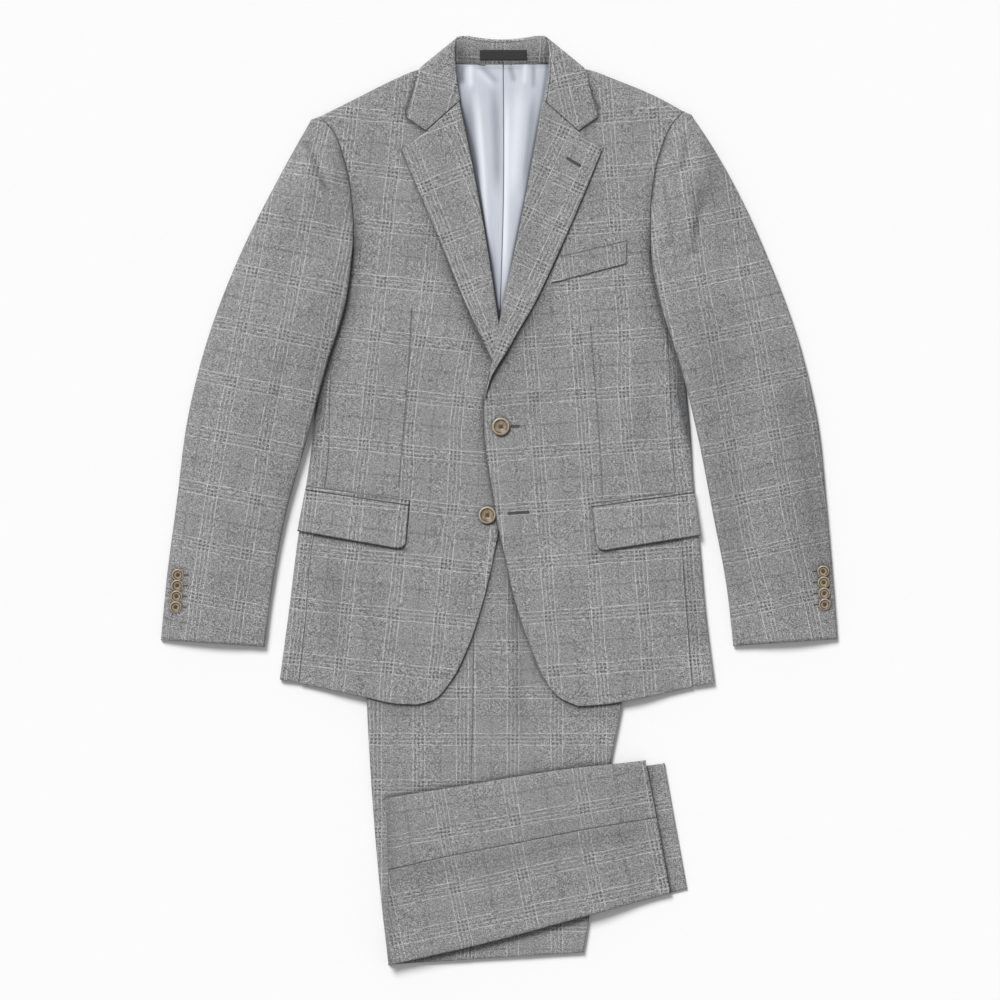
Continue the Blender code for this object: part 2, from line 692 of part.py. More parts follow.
def make_pocket(side):
    lines = POCKETS[side]
    surface = front_face(side)

    def raised(x, y):
        """Clear of the panels, and level past the rounded edge of the side."""
        inward = surface(x - SIDES[side] * 6, y)
        return max(surface(x, y), inward, FRONT_FLOOR[side](x, y) + FRONT_WALL) + 2 * GAP

    upper, lower = straight(*lines["upper"]), straight(*lines["lower"])
    sheet(f"jet_{side}", lambda u, v: mix(upper(u), lower(u), v), raised, 1.0, stations(6), stations(1))
    flap_end = straight(*lines["flap"])
    round_off = 13.0

    def plan(u, v):
        top_point = lower(u) + np.array([0, -GAP])
        bottom_point = flap_end(u)
        inner_rise = max(0.0, u - 0.86) / 0.14
        lifted = bottom_point + np.array([0, round_off * (1 - math.sqrt(max(0.0, 1 - inner_rise**2)))])
        return mix(top_point, lifted, v)

    across = stations(7, (), (0.01, 0.03, 0.07))
    sheet(f"flap_{side}", plan, raised, FLAP_WALL, across, stations(2))


def make_breast_welt():
    surface = front_face("left")
    plan = ruled(straight(*BREAST_WELT["upper"]), straight(*BREAST_WELT["lower"]))
    sheet("breast_welt", plan, lambda x, y: surface(x, y) + 2 * GAP, FLAP_WALL, stations(2), stations(4))


# ---------------------------------------------------------------- buttons

def button_mesh(radius, thickness, steps):
    """A sew-on button turned from its profile: a round rim about a sunk middle."""
    profile = [
        # radius, height, as fractions
        (0.0, 0.0), (0.75, 0.0), (1.0, 0.5), (0.88, 1.0), (0.68, 0.7), (0.0, 0.66),
    ]
    bm = bmesh.new()
    verts = [bm.verts.new((r * radius * MM, 0, z * thickness * MM)) for r, z in profile]
    edges = [bm.edges.new(pair) for pair in zip(verts, verts[1:])]
    bmesh.ops.spin(bm, geom=verts + edges, axis=(0, 0, 1), cent=(0, 0, 0), angle=math.tau, steps=steps,
                   use_merge=True)
    bmesh.ops.remove_doubles(bm, verts=bm.verts[:], dist=1e-6)
    bmesh.ops.recalc_face_normals(bm, faces=bm.faces[:])
    mesh = bpy.data.meshes.new("button")
    bm.to_mesh(mesh)
    bm.free()
    mesh.shade_smooth()
    mesh.set_sharp_from_angle(angle=math.radians(50))
    return mesh


def add_button(name, mesh, x, y, z, tilt=0.0):
    made = bpy.data.objects.new(name, mesh.copy())
    made.data.materials.append(material(name, HORN, 0.35))
    made.location = Vector((x, y, z)) * MM
    made.rotation_euler = (math.radians(tilt), 0, 0)
    bpy.context.scene.collection.objects.link(made)


def make_buttons():
    for (name, x, y, radius, thickness), side in zip(BUTTONS, ("left", "right")):
        surface = front_face(side)
        level = max(surface(x + dx, y + dy) for dx in (-radius, 0, radius) for dy in (-radius, 0, radius))
        if side == "left":
            level = surface(x, y)
        add_button(name, button_mesh(radius, thickness, 16), x, y, level + GAP)
    cuff = button_mesh(CUFF_BUTTON_RADIUS, CUFF_BUTTON_THICKNESS, 12)
    lean = CUFF_BUTTON_RADIUS * math.sin(math.radians(CUFF_BUTTON_TILT))
    for side, (first, last) in CUFF_BUTTONS.items():
        for i in range(CUFF_BUTTON_COUNT):
            x, y = mix(np.array(first), np.array(last), i / (CUFF_BUTTON_COUNT - 1))
            add_button(f"cuff_button_{side}_{i + 1}", cuff, x, y, SLEEVE_HEIGHT + GAP + lean,
                       CUFF_BUTTON_TILT)


# ---------------------------------------------------------------- trousers

# The rim of a stack of folded layers: (height fraction, inset from the outline), from the top down
STACK_SHELF = 0.73  # the panels' turned edges rest on this step of the rim
STACK_RIM = [(1.0, 4.6), (0.74, 4.6), (STACK_SHELF, 0.5), (0.55, 0.0), (0.4, 0.55), (0.2, 0.0), (0.0, 0.6)]
LEG_RIM = [(1.0, 0.6), (0.75, 0.0), (0.5, 0.6), (0.25, 0.0), (0.0, 0.6)]


def stack(name, plan, floor, height, rim, across, along, ends=1.0):
    """Hidden layers of folded cloth as one solid, with the edge of each layer in its rim."""
    depths = [1 - fraction for fraction, _ in rim]
    insets = dict(zip(depths, (inset for _, inset in rim)))

    def place(u, v, depth):
        edge = np.array(plan(u, v))
        x, y = edge
        if u in (0, 1):
            inward = plan(0.5, v) - edge
            x, y = (x, y) + inward / np.linalg.norm(inward) * insets[depth]
        if v in (0, 1):
            inward = plan(u, 0.5) - edge
            x, y = (x, y) + inward / np.linalg.norm(inward) * insets[depth] * ends
        return x, y, floor(x, y) + height * (1 - depth)

    return body(name, across, along, place, layers=depths[1:-1])


def make_trousers():
    right, left, seam = (curve(points) for points in (*TROUSERS_EDGE.values(), TROUSERS_SEAM))
    band = WAISTBAND / (WAIST_Y + 525)
    along = [0, 0.12, 0.25, 0.4, 0.54, 0.6, 0.7, 0.8, 0.9, 1]
    below = lambda t: mix(band + 0.0006, 1.0, t)
    floor = lambda x, y: trousers_floor(y)
    core_height = TROUSERS_HEIGHT - TROUSER_WALL - GAP
    shelf = core_height * STACK_SHELF + GAP + 0.05
    top = lambda x, y, v: trousers_floor(y) + TROUSERS_HEIGHT
    foot = lambda x, y: trousers_floor(y) + shelf
    core_plan = ruled(lambda t: right(below(t)), lambda t: left(below(t)))
    stack("trousers_layers", core_plan, floor, core_height, STACK_RIM, stations(5), along, ends=0.3)
    seam_gap = np.array([GAP / 2, 0])
    folded("trousers_front", lambda t: right(below(t)), lambda t: seam(below(t)) - seam_gap, top, foot,
           TROUSER_WALL, along, (0.4, 0.7), second_fold=0)
    folded("trousers_back", lambda t: seam(below(t)) + seam_gap, lambda t: left(below(t)), top, foot,
           TROUSER_WALL, along, (0.3, 0.6), first_fold=0)
    waist_plan = ruled(lambda t: right(t * band), lambda t: left(t * band))
    stack("waistband", waist_plan, floor, TROUSERS_HEIGHT - GAP, LEG_RIM, stations(4), stations(1))


def make_folded_legs():
    second = ruled(curve(SECOND_LEG_TOP_EDGE), curve(SECOND_LEG_BOTTOM_EDGE))
    along = [0, 0.25, 0.5, 0.68, 0.76, 0.82, 0.88, 0.94, 1]
    stack("second_leg", second, legs_floor, LEG_HEIGHT, LEG_RIM, stations(3), along)
    top_edge, bottom_edge, seam = (curve(p) for p in (LEG_TOP_EDGE, LEG_BOTTOM_EDGE, LEG_SEAM))
    foot = lambda x, y: legs_floor(x, y) + LEG_HEIGHT + 2 * GAP
    top = lambda x, y, v: foot(x, y) + LEG_HEIGHT
    seam_gap = np.array([0, GAP / 2 + 0.02])
    folded("folded_leg_front", top_edge, lambda t: seam(t) + seam_gap, top, foot, TROUSER_WALL, along,
           (0.33, 0.67), second_fold=0)
    folded("folded_leg_back", lambda t: seam(t) - seam_gap, bottom_edge, top, foot, TROUSER_WALL, along,
           (0.33, 0.67), first_fold=0)
    inset = TROUSER_WALL + 4.0

    def core(u, v):
        a, b = top_edge(mix(0.004, 0.997, v)), bottom_edge(mix(0.004, 0.997, v))
        width = float(np.linalg.norm(b - a))
        return mix(a, b, mix(inset / width, 1 - inset / width, u))

    core_height = LEG_HEIGHT - TROUSER_WALL - 2 * GAP
    sheet("folded_leg_layers", core, foot, core_height, stations(3), along)


def main():
    for old in list(bpy.data.objects):
        bpy.data.objects.remove(old)
    for side in SIDES:
        make_back(side)
        make_lining(side)
        make_side(side)
        make_front(side)
        make_lapel(side)
        make_sleeve(side)
        make_pocket(side)
    make_collar()
    make_stand()
    make_label()
    make_breast_welt()
    make_buttons()
    make_trousers()
    make_folded_legs()


main()
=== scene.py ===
# %% [markdown]
# # A two-piece suit, laid flat
# A buttoned jacket lies face up on the floor with its trousers folded inside it. Seen from above a suit
# is a stack of thin cut pieces, so this lesson works as a tailor does: it takes each piece's outline,
# lays a fine grid inside it, drops the grid onto the solid that carries it, and turns its edges under.
# The cloth itself, a grey check, is a pattern of threads drawn in each piece's own cutting coordinates.

# %% Load the frame
import math

import bmesh
import bpy
import numpy as np
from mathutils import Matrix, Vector, noise
from mathutils.bvhtree import BVHTree


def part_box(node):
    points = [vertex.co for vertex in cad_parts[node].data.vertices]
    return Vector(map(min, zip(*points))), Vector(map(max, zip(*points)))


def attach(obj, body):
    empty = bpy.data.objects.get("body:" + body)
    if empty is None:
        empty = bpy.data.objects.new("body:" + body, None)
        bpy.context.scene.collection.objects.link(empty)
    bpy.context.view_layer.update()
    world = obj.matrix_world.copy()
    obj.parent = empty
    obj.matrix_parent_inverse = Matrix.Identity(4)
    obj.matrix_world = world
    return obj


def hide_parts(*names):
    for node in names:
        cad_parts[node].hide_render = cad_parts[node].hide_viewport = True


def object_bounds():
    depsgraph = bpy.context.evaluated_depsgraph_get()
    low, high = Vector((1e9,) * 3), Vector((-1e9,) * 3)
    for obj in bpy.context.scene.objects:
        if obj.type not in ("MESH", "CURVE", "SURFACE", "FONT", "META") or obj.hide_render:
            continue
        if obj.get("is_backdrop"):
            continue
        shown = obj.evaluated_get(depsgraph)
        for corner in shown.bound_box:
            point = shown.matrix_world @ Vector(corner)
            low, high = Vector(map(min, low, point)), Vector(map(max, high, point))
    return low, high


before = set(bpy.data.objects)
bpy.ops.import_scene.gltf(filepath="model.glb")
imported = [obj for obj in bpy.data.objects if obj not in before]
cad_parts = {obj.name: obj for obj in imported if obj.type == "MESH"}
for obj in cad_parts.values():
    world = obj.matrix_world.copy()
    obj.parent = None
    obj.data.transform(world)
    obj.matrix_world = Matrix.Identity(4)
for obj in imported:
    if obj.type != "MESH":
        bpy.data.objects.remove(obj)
cad_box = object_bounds()
MM = 0.001
SIDES = {"right": -1, "left": 1}  # the wearer's right is at -X

# %% [markdown]
# ## Sums in shader language
# A pattern is arithmetic on coordinates. Wiring Math nodes by hand hides that, so one small class wraps
# a socket and turns Python's + - * / into nodes.


# %% A socket that can be added and multiplied
class Shade:
    """A shader socket, or a number, inside a Python expression."""

    def __init__(self, finish, socket):
        self.finish, self.socket = finish, socket

    def math(self, operation, *others, clamp=False):
        settings = {"operation": operation, "use_clamp": clamp}
        return self.finish.node("ShaderNodeMath", settings, {i: v for i, v in enumerate((self, *others))})

    def __add__(self, other):
        return self.math("ADD", other)

    def __sub__(self, other):
        return self.math("SUBTRACT", other)

    def __mul__(self, other):
        return self.math("MULTIPLY", other)

    def __truediv__(self, other):
        return self.math("DIVIDE", other)

    def __rsub__(self, other):
        return self.math("MULTIPLY_ADD", -1.0, other)

    def __abs__(self):
        return self.math("ABSOLUTE")

    def __mod__(self, other):
        return self.math("FLOORED_MODULO", other)

    __radd__, __rmul__ = __add__, __mul__

    def clamped(self):
        return self.math("ADD", 0.0, clamp=True)

    def over(self, other):
        """The larger of the two."""
        return self.math("MAXIMUM", other)

    def above(self, edge, soft):
        """0 below edge, 1 above edge + soft."""
        return ((self - edge) / soft).clamped()


class Finish:
    """One material: its Principled shader and whatever nodes feed it."""

    def __init__(self, name, roughness=0.5, **constants):
        self.material = bpy.data.materials.new(name)
        self.material.use_nodes = True
        self.tree = self.material.node_tree
        self.shader = self.tree.nodes["Principled BSDF"]
        self.set("Roughness", roughness)
        for socket, value in constants.items():
            self.set(socket.replace("_", " "), value)

    def set(self, socket, value):
        target = self.shader.inputs[socket]
        if isinstance(value, Shade):
            self.tree.links.new(value.socket, target)
        else:
            target.default_value = value

    def node(self, kind, settings=(), sockets=(), output=0):
        made = self.tree.nodes.new(kind)
        for key, value in dict(settings).items():
            setattr(made, key, value)
        for key, value in dict(sockets).items():
            if isinstance(value, Shade):
                self.tree.links.new(value.socket, made.inputs[key])
            else:
                made.inputs[key].default_value = value
        return Shade(self, made.outputs[output])

    def uv(self, layer):
        return self.node("ShaderNodeUVMap", {"uv_map": layer})

    def object_place(self):
        return self.node("ShaderNodeTexCoord", output="Object")

    def parts(self, vector):
        split = self.node("ShaderNodeSeparateXYZ", sockets={0: vector})
        return [Shade(self, socket) for socket in split.socket.node.outputs]

    def vector(self, x, y=0.0, z=0.0):
        return self.node("ShaderNodeCombineXYZ", sockets={0: x, 1: y, 2: z})

    def noise(self, vector, scale, detail=0.0, rough=0.5):
        return self.node("ShaderNodeTexNoise", sockets={
            "Vector": vector, "Scale": scale, "Detail": detail, "Roughness": rough})

    def attribute(self, name):
        return self.node("ShaderNodeAttribute", {"attribute_name": name}, output="Fac")

    def blend(self, share, first, second):
        """A colour between two, by share."""
        return self.node("ShaderNodeMix", {"data_type": "RGBA"}, {0: share, 6: first, 7: second}, 2)

    def relief(self, height, strength, distance=0.0004):
        self.set("Normal", self.node("ShaderNodeBump", sockets={
            "Height": height, "Strength": strength, "Distance": distance}))


print("the sums are ready")

# %% [markdown]
# ## The check cloth
# A glen check is woven, not printed: every 54 mm across and 63 mm along, a band of pale threads runs
# through the grey, with darker threads between them, and a lone dark thread lies midway to the next
# band. Where two bands cross, the dark threads make a patch of small dark squares. The bands are drawn
# in millimetres on the cut cloth, kept in each piece's own UV map, so the check turns with each piece.
# The ground is wool of several greys spun together, so it is a speckle of flecks under a millimetre
# across, with a darker or paler slub here and there. It has no direction, and reads Object coordinates.

# %% Weave the check
ACROSS_PITCH, ALONG_PITCH, BAND_HALF = 54.0, 63.0, 9.0  # mm between bands, and half a band
THREAD_STEP = 4.5  # mm between the pale threads of a band
GROUND_DARK, GROUND_PALE = (0.10, 0.10, 0.10, 1), (0.485, 0.485, 0.485, 1)
PALE, DARK = (0.78, 0.78, 0.775, 1), (0.07, 0.07, 0.072, 1)  # threads
# the colour that painted shade darkens the cloth and the buttonhole twist towards
SHADOW = (0.03, 0.031, 0.035, 1)
FLECKS, SLUBS, TWILL_STEP = 1050.0, 560.0, 1.3  # a metre, a metre, and mm between the twill's ribs


def band(distance, pitch):
    """Pale and dark threads of the bands that repeat at this pitch."""
    off = abs(distance % pitch - pitch / 2)
    step = abs(off % THREAD_STEP - THREAD_STEP / 2)
    pale = (1.25 - step / 0.55).clamped() * (1 - off.above(7.6, 0.3)) * (0.55 + 0.45 * off.above(4.5, 0.4))
    dark = step.above(1.1, 0.5) * (1 - off.above(6.0, 0.4))
    lone = (1.2 - abs(off - (pitch / 2 - 0.6)) / 0.46).clamped()
    return pale, dark, lone


def check_cloth(name):
    """The suit's cloth: ground, then dark threads, then pale ones, then painted shade by seams and edges."""
    cloth = Finish(name, 0.86, Sheen_Weight=0.25, Sheen_Roughness=0.45, Specular_IOR_Level=0.25)
    place = cloth.uv("cut")
    u, v, _ = cloth.parts(place)
    wander = cloth.noise(place, 0.03, 1.0) - 0.5
    across, along = u + wander * 3.0, v - wander * 3.0
    pale_warp, dark_warp, lone_warp = band(across, ACROSS_PITCH)
    pale_weft, dark_weft, lone_weft = band(along, ALONG_PITCH)
    # threads come and go: each is broken into short lengths along its own way
    broken_warp = cloth.noise(cloth.vector(u * 0.8, v * 0.17), 1.0, 2.0)
    broken_weft = cloth.noise(cloth.vector(u * 0.17, v * 0.8), 1.0, 2.0)
    wool = cloth.object_place()
    fleck = cloth.noise(wool, FLECKS, 1.0, 0.6)
    melange = (fleck * 1.1 + broken_warp * 0.2 + broken_weft * 0.2).above(0.59, 0.33)
    faint = cloth.noise(place, 0.055, 1.0).above(0.30, 0.4) * 0.5 + 0.5  # a band fades here and there
    pale = (pale_warp * broken_warp.above(0.34, 0.15)).over(pale_weft * broken_weft.above(0.33, 0.15)) * faint
    dark = (dark_warp + dark_weft) * (1 - fleck.above(0.42, 0.16)) * 0.46 + dark_warp * dark_weft * 0.6
    lone = (lone_warp * broken_warp.above(0.44, 0.1)).over(lone_weft * broken_weft.above(0.40, 0.1))
    dashes = broken_weft.above(0.64, 0.06).over(broken_warp.above(0.65, 0.06))
    slub = cloth.noise(wool, SLUBS)  # a knot of dark or pale wool now and then
    fade = cloth.noise(place, 0.016, 2.0).above(0.3, 0.4)
    tone = cloth.blend((melange - 0.07 * fade).clamped(), GROUND_DARK, GROUND_PALE)
    dark = dark.over(lone * 0.62).over(dashes * 0.5).over(slub.above(0.72, 0.04) * 0.5)
    tone = cloth.blend(dark.clamped(), tone, DARK)
    pale = (pale * (0.34 + 0.52 * fleck.above(0.37, 0.2))).over((0.5 - slub).above(0.235, 0.03) * 0.4)
    tone = cloth.blend(pale, tone, PALE)
    # painted shade: the attribute darkens the cloth towards SHADOW by seams, edges, folds and where pieces
    # lie on it
    cloth.set("Base Color", cloth.blend(cloth.attribute("painted_shade_and_sheen").clamped() * 0.7, tone, SHADOW))
    cloth.set("Roughness", 0.80 + 0.12 * fleck)
    twill = abs((u + v) % TWILL_STEP - TWILL_STEP / 2) * 0.8 + fleck * 1.4 + pale * 0.6
    cloth.relief(twill, 0.35)
    return cloth.material


cloth = check_cloth("suit_check")
print("the check:", len(cloth.node_tree.nodes), "nodes")

# %% [markdown]
# ## The small finishes
# The lining is a pale satin: painted shade darkens it in the hollow of a pleat and beside the lapels,
# and painted sheen brightens it along a ridge and in long streaks. The buttons are tan horn, turned in
# rings: pale ones at the rim and in the middle, and dark ones of painted shade where the rim falls to
# the middle and round the holes. The label is a plain charcoal tape, and the buttonholes are worked in
# dark grey silk twist, with painted shade in the slit.


# %% Lining, horn, tape and thread
PALE_HORN, PAINTED_HORN_SHADE = (0.54, 0.45, 0.33, 1), (0.03, 0.02, 0.012, 1)
# rings below 0 are painted shade, where the rim falls to the middle and round the holes
FRONT_RINGS = [(0.89, 0.13, 0.95), (0.73, 0.06, -0.8), (0.42, 0.30, 0.3), (0.1, 0.16, -0.5)]
CUFF_RINGS = [(0.89, 0.13, 0.85), (0.71, 0.09, -0.9), (0.50, 0.14, 0.7), (0.12, 0.24, -0.9)]


def satin_lining(name):
    satin = Finish(name, 0.34, Specular_IOR_Level=0.6, Sheen_Weight=0.15)
    u, v, _ = satin.parts(satin.uv("cut"))
    # the long streaks are painted sheen: bands of paler and darker satin along its length
    streak = satin.noise(satin.vector(u * 1.6, v * 0.05), 1.0, 2.0)
    tone = satin.blend(streak.above(0.3, 0.4), (0.55, 0.585, 0.665, 1), (0.62, 0.65, 0.72, 1))
    painted_shade_and_sheen = satin.attribute("painted_shade_and_sheen")
    # painted sheen: a value below 0 brightens the satin along a pleat's ridge
    tone = satin.blend((0 - painted_shade_and_sheen).clamped() * 0.75, tone, (0.86, 0.90, 0.97, 1))
    # painted shade: a value above 0 darkens it in a pleat's hollow and beside the lapels
    satin.set("Base Color", satin.blend(painted_shade_and_sheen.clamped() * 0.85, tone, (0.045, 0.052, 0.075, 1)))
    satin.set("Roughness", 0.30 + 0.12 * streak)
    satin.relief(streak + abs(v % 0.9 - 0.45), 0.12)
    return satin.material


def horn(name, rings):
    """Streaked horn. A ring is (middle, half width, strength), pale, or painted shade below 0 strength."""
    shell = Finish(name, 0.3, Coat_Weight=0.25, Coat_Roughness=0.15)
    u, _, _ = shell.parts(shell.uv("turned"))  # the distance from the middle
    streak = shell.noise(shell.object_place(), 260.0, 3.0, 0.65)
    tone = shell.blend(streak.above(0.35, 0.3), (0.12, 0.08, 0.05, 1), (0.30, 0.225, 0.145, 1))
    for middle, half, strength in rings:
        ring = (1 - abs(u - middle) / half).clamped()
        tone = shell.blend(ring * abs(strength), tone, PALE_HORN if strength > 0 else PAINTED_HORN_SHADE)
    shell.set("Base Color", tone)
    shell.set("Roughness", 0.24 + 0.2 * streak)
    return shell.material


def plain_tape(name):
    tape = Finish(name, 0.75, Sheen_Weight=0.2)
    _, v, _ = tape.parts(tape.uv("cut"))
    rib = abs(v % 0.8 - 0.4) * 2.5
    black, charcoal = (0.014, 0.014, 0.015, 1), (0.036, 0.036, 0.038, 1)
    tape.set("Base Color", tape.blend(rib.clamped() * 0.5, black, charcoal))
    tape.relief(rib, 0.4)
    return tape.material


def twist(name, colour):
    silk = Finish(name, 0.55, Sheen_Weight=0.2)
    strands = silk.noise(silk.object_place(), 2600.0, 1.0)
    dull = tuple(c * 0.55 for c in colour) + (1,)
    tone = silk.blend(strands.above(0.35, 0.3), dull, (*colour, 1))
    # painted shade: the attribute darkens the twist towards SHADOW in the buttonhole's slit
    silk.set("Base Color", silk.blend(silk.attribute("painted_shade_and_sheen") * 0.6, tone, SHADOW))
    silk.relief(strands, 0.5)
    return silk.material


lining_satin = satin_lining("lining_satin")
front_horn, cuff_horn = horn("front_button_horn", FRONT_RINGS), horn("cuff_button_horn", CUFF_RINGS)
label_tape = plain_tape("label_tape")
silk_twist = twist("buttonhole_twist", (0.075, 0.078, 0.078))
button_thread = twist("button_thread", (0.13, 0.07, 0.035))
print("six small finishes")

# %% [markdown]
# ## Curves, and outlines through a few points
# Every outline is a smooth curve through a few measured points, in millimetres. A curve here is a
# function of 0 to 1 along its length that also takes whole arrays, so a piece is laid out in one go.


# %% Curves and easing
def mix(a, b, t):
    return a + (b - a) * t


def ease(t):
    t = np.clip(t, 0.0, 1.0)
    return t * t * (3 - 2 * t)


def rise(value, start, over):
    """0 up to start, 1 from start + over on."""
    return ease((value - start) / over)


def run_along(points):
    """How far along a line of points each one is."""
    return np.concatenate([[0], np.cumsum(np.linalg.norm(np.diff(points, axis=0), axis=1))])


def bent_between(p, tangent, i, length, t):
    """The smooth way from point i to the next one, at shares t of it."""
    return ((2 * t**3 - 3 * t**2 + 1) * p[i] + (t**3 - 2 * t**2 + t) * length * tangent[i]
            + (3 * t**2 - 2 * t**3) * p[i + 1] + (t**3 - t**2) * length * tangent[i + 1])


def curve(points):
    """The smooth curve through some points, as a function of 0 to 1 along its length."""
    p = np.array(points, float)
    if len(p) == 2:
        dense = np.linspace(p[0], p[1], 9)
    else:
        run = run_along(p)
        tangent, t = np.gradient(p, run, axis=0), np.linspace(0, 1, 16)[:, None]
        steps = [bent_between(p, tangent, i, length, t)[1:] for i, length in enumerate(np.diff(run))]
        dense = np.concatenate([p[:1], *steps])
    run = run_along(dense)
    run /= run[-1]
    return lambda t: np.stack([np.interp(t, run, dense[:, k]) for k in (0, 1)], -1)


def joined(first, second, at):
    """Two curves end to end, the first up to at and the second after it."""
    return lambda t: np.where((np.asarray(t) <= at)[..., None], first(np.clip(t / at, 0, 1)),
                              second(np.clip((t - at) / (1 - at), 0, 1)))


def x_at(points):
    """The x of an outline at a height y, where the outline only runs downwards."""
    line = curve(points)(np.linspace(0, 1, 120))[::-1]
    return lambda y: np.interp(y, line[:, 1], line[:, 0])


def ruled(first, second):
    """A plan between two curves: u goes from the first to the second, v runs along both."""
    return lambda u, v: mix(first(v), second(v), u[..., None])


def framed(first, second, top, bottom):
    """A plan inside four curves."""

    def plan(u, v):
        a, b = u[..., None], v[..., None]
        corners = ((1 - a) * (1 - b) * first(0 * v) + a * (1 - b) * second(0 * v)
                   + (1 - a) * b * first(0 * v + 1) + a * b * second(0 * v + 1))
        return mix(first(v), second(v), a) + mix(top(u), bottom(u), b) - corners

    return plan


print("halfway along a bend:", curve([(0, 0), (10, 5), (20, 0)])(0.5).round(1))

# %% [markdown]
# ## The cutter's tables
# These are the outlines of the suit as it lies, in millimetres from the middle of its box, from the
# collar down to the hem. The solids were cut from the same tables.

# %% Outlines
NECK_X = 3.5
ARMHOLE = {
    "right": [(-206, 442), (-192, 428), (-177, 392), (-168, 340), (-167, 305), (-171, 272), (-190, 238)],
    "left": [(212, 448), (200, 435), (185, 402), (175, 348), (174, 308), (176, 272), (192, 238)],
}
SHOULDER = {
    "right": [(-52, 529), (-97, 494.5), (-120, 485), (-166, 462), (-206, 442)],
    "left": [(57, 531), (104, 495.5), (133, 485), (187, 462), (212, 448)],
}
SIDE_SEAM = {
    "right": [(-190, 238), (-194, 120), (-198, 30), (-213, -40), (-223, -144), (-229.5, -207)],
    "left": [(192, 238), (197, 120), (202, 25), (209.5, -44), (217, -144), (222.5, -212)],
}
SIDE_EDGE = {
    "right": [(-205, 238), (-208.5, 150), (-213, 84), (-222, 16), (-230, -35), (-242, -130), (-252, -205)],
    "left": [(207, 238), (213, 150), (219.5, 84), (224, 15), (230, -40), (238, -130), (248, -209)],
}
HEM = {
    "right": [(-93, -233), (-119, -232), (-152, -225), (-229.5, -209)],
    "left": [(91, -235), (120, -233), (172, -224), (222.5, -213)],
}
FRONT_EDGE = {
    "right": [(16, 109), (15, 71), (7, 10), (-1, -38), (-9, -77), (-19, -118), (-37, -171), (-57, -209),
              (-72, -226), (-93, -233)],
    "left": [(-17, 109), (-16, 71), (-8, 15), (0.5, -35), (8, -67), (18, -112), (38, -171), (52, -203),
             (68, -224), (91, -235)],
}
ROLL_LINE = {
    "right": [(-45.5, 459.5), (-29, 379), (-14, 296), (-0.5, 208), (8.5, 147)],
    "left": [(50, 459.5), (34, 369), (14, 269), (0, 204), (-7, 164), (-16.5, 118)],
}
LAPEL_EDGE = {
    "right": [(-112, 404), (-93, 359), (-68, 300), (-42, 236), (-14, 175), (2, 142)],
    "left": [(118, 404), (104, 369), (68, 285), (38, 222), (21, 193), (7, 168.5), (-2.3, 154), (-8.5, 143),
             (-13, 131), (-15.7, 119)],
}
FRONT_NECK = [(62.5, 514.5), (61.0, 503.0), (58.5, 485.0), (56.0, 471.0)]
NOTCH = {"right": (-84, 425), "left": (90, 426)}
SLEEVE_OUTER = {
    "right": [(-216, 438), (-232, 410), (-254, 370), (-300, 278), (-335, 186), (-358, 94), (-370, 2),
              (-382, -90), (-388.5, -159)],
    "left": [(221, 444), (240, 416), (267, 370), (310, 278), (344, 186), (366, 94), (376, 2), (384, -90),
             (389, -158)],
}
SLEEVE_INNER = {
    "right": [(-169.5, 272), (-175, 232), (-199, 152), (-218, 79), (-245, -17), (-261, -105), (-269, -167)],
    "left": [(176, 270), (184, 232), (209, 152), (227, 79), (246, -17), (261, -96), (269, -166)],
}
TROUSERS_EDGE = {
    "right": [(-115, 196), (-140, 100), (-150, 0), (-153, -110), (-152, -225), (-147, -320), (-136, -452),
              (-127, -532)],
    "left": [(115, 196), (132, 100), (142, 0), (144, -110), (141.5, -228), (127, -305), (108, -452),
             (97, -518)],
}
TROUSERS_SEAM = [(-25, 196), (-27, 0), (-29, -170), (-30, -251), (-32, -324), (-33, -526)]
LEG_TOP_EDGE = [(-129, -340), (-36, -325), (73, -307.5), (168, -297)]
LEG_BOTTOM_EDGE = [(-127, -532), (-9, -505), (100, -475.5), (197, -450)]
LEG_SEAM = [(-127.5, -423), (-63, -408), (24, -391), (100, -376), (181, -363)]
SECOND_LEG_TOP_EDGE = [(-112, -346), (40, -321), (190, -301)]
SECOND_LEG_BOTTOM_EDGE = [(-104, -519), (60, -484), (216, -445)]
DART = {
    "right": [(-98, 500), (-99, 300), (-100, 223), (-104, 152), (-109, 85), (-115, 16), (-121, -240)],
    "left": [(104, 500), (104, 300), (105, 203), (109, 152), (115, 75), (119, 3), (125, -240)],
}
POCKETS = {
    "right": {"upper": ((-221.5, 18.5), (-102.0, 1.5)), "lower": ((-222.5, 13.5), (-103.0, -4.5)),
              "flap": ((-231.5, -34.0), (-106.5, -56.0))},
    "left": {"upper": ((224.0, 14.0), (105.0, -2.0)), "lower": ((224.5, 10.0), (105.5, -6.5)),
             "flap": ((231.5, -39.0), (111.0, -58.0))},
}
BREAST_WELT = {"upper": [(68.5, 281.0), (147, 300)], "lower": [(58.5, 250.5), (146, 273)]}
# x, y, radius and thickness
BUTTONS = {"button_front_top": (2.0, 86.0, 10.2, 3.4), "button_front_bottom": (-13.6, -15.5, 10.0, 3.4)}
# the first and the last of the four
CUFF_BUTTONS = {"right": [(-368.5, -84), (-371.0, -121)], "left": [(372.0, -80), (373.8, -118)]}
print(len(LAPEL_EDGE["left"]), "points cut the left lapel")

# %% [markdown]
# ## Laying a piece down
# Cloth rests on what is under it. Each node of the frame knows its own surface, so a ray dropped from
# above finds the height there, and a few rounds of averaging take out the solid's flat facets. Creases
# and the slow waviness of cloth on a floor are added to that height.


# %% Heights from the solids
def surface_of(node):
    mesh = bmesh.new()
    mesh.from_mesh(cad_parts[node].data)
    bmesh.ops.remove_doubles(mesh, verts=mesh.verts[:], dist=1e-6)
    tree = BVHTree.FromBMesh(mesh)
    mesh.free()
    return tree


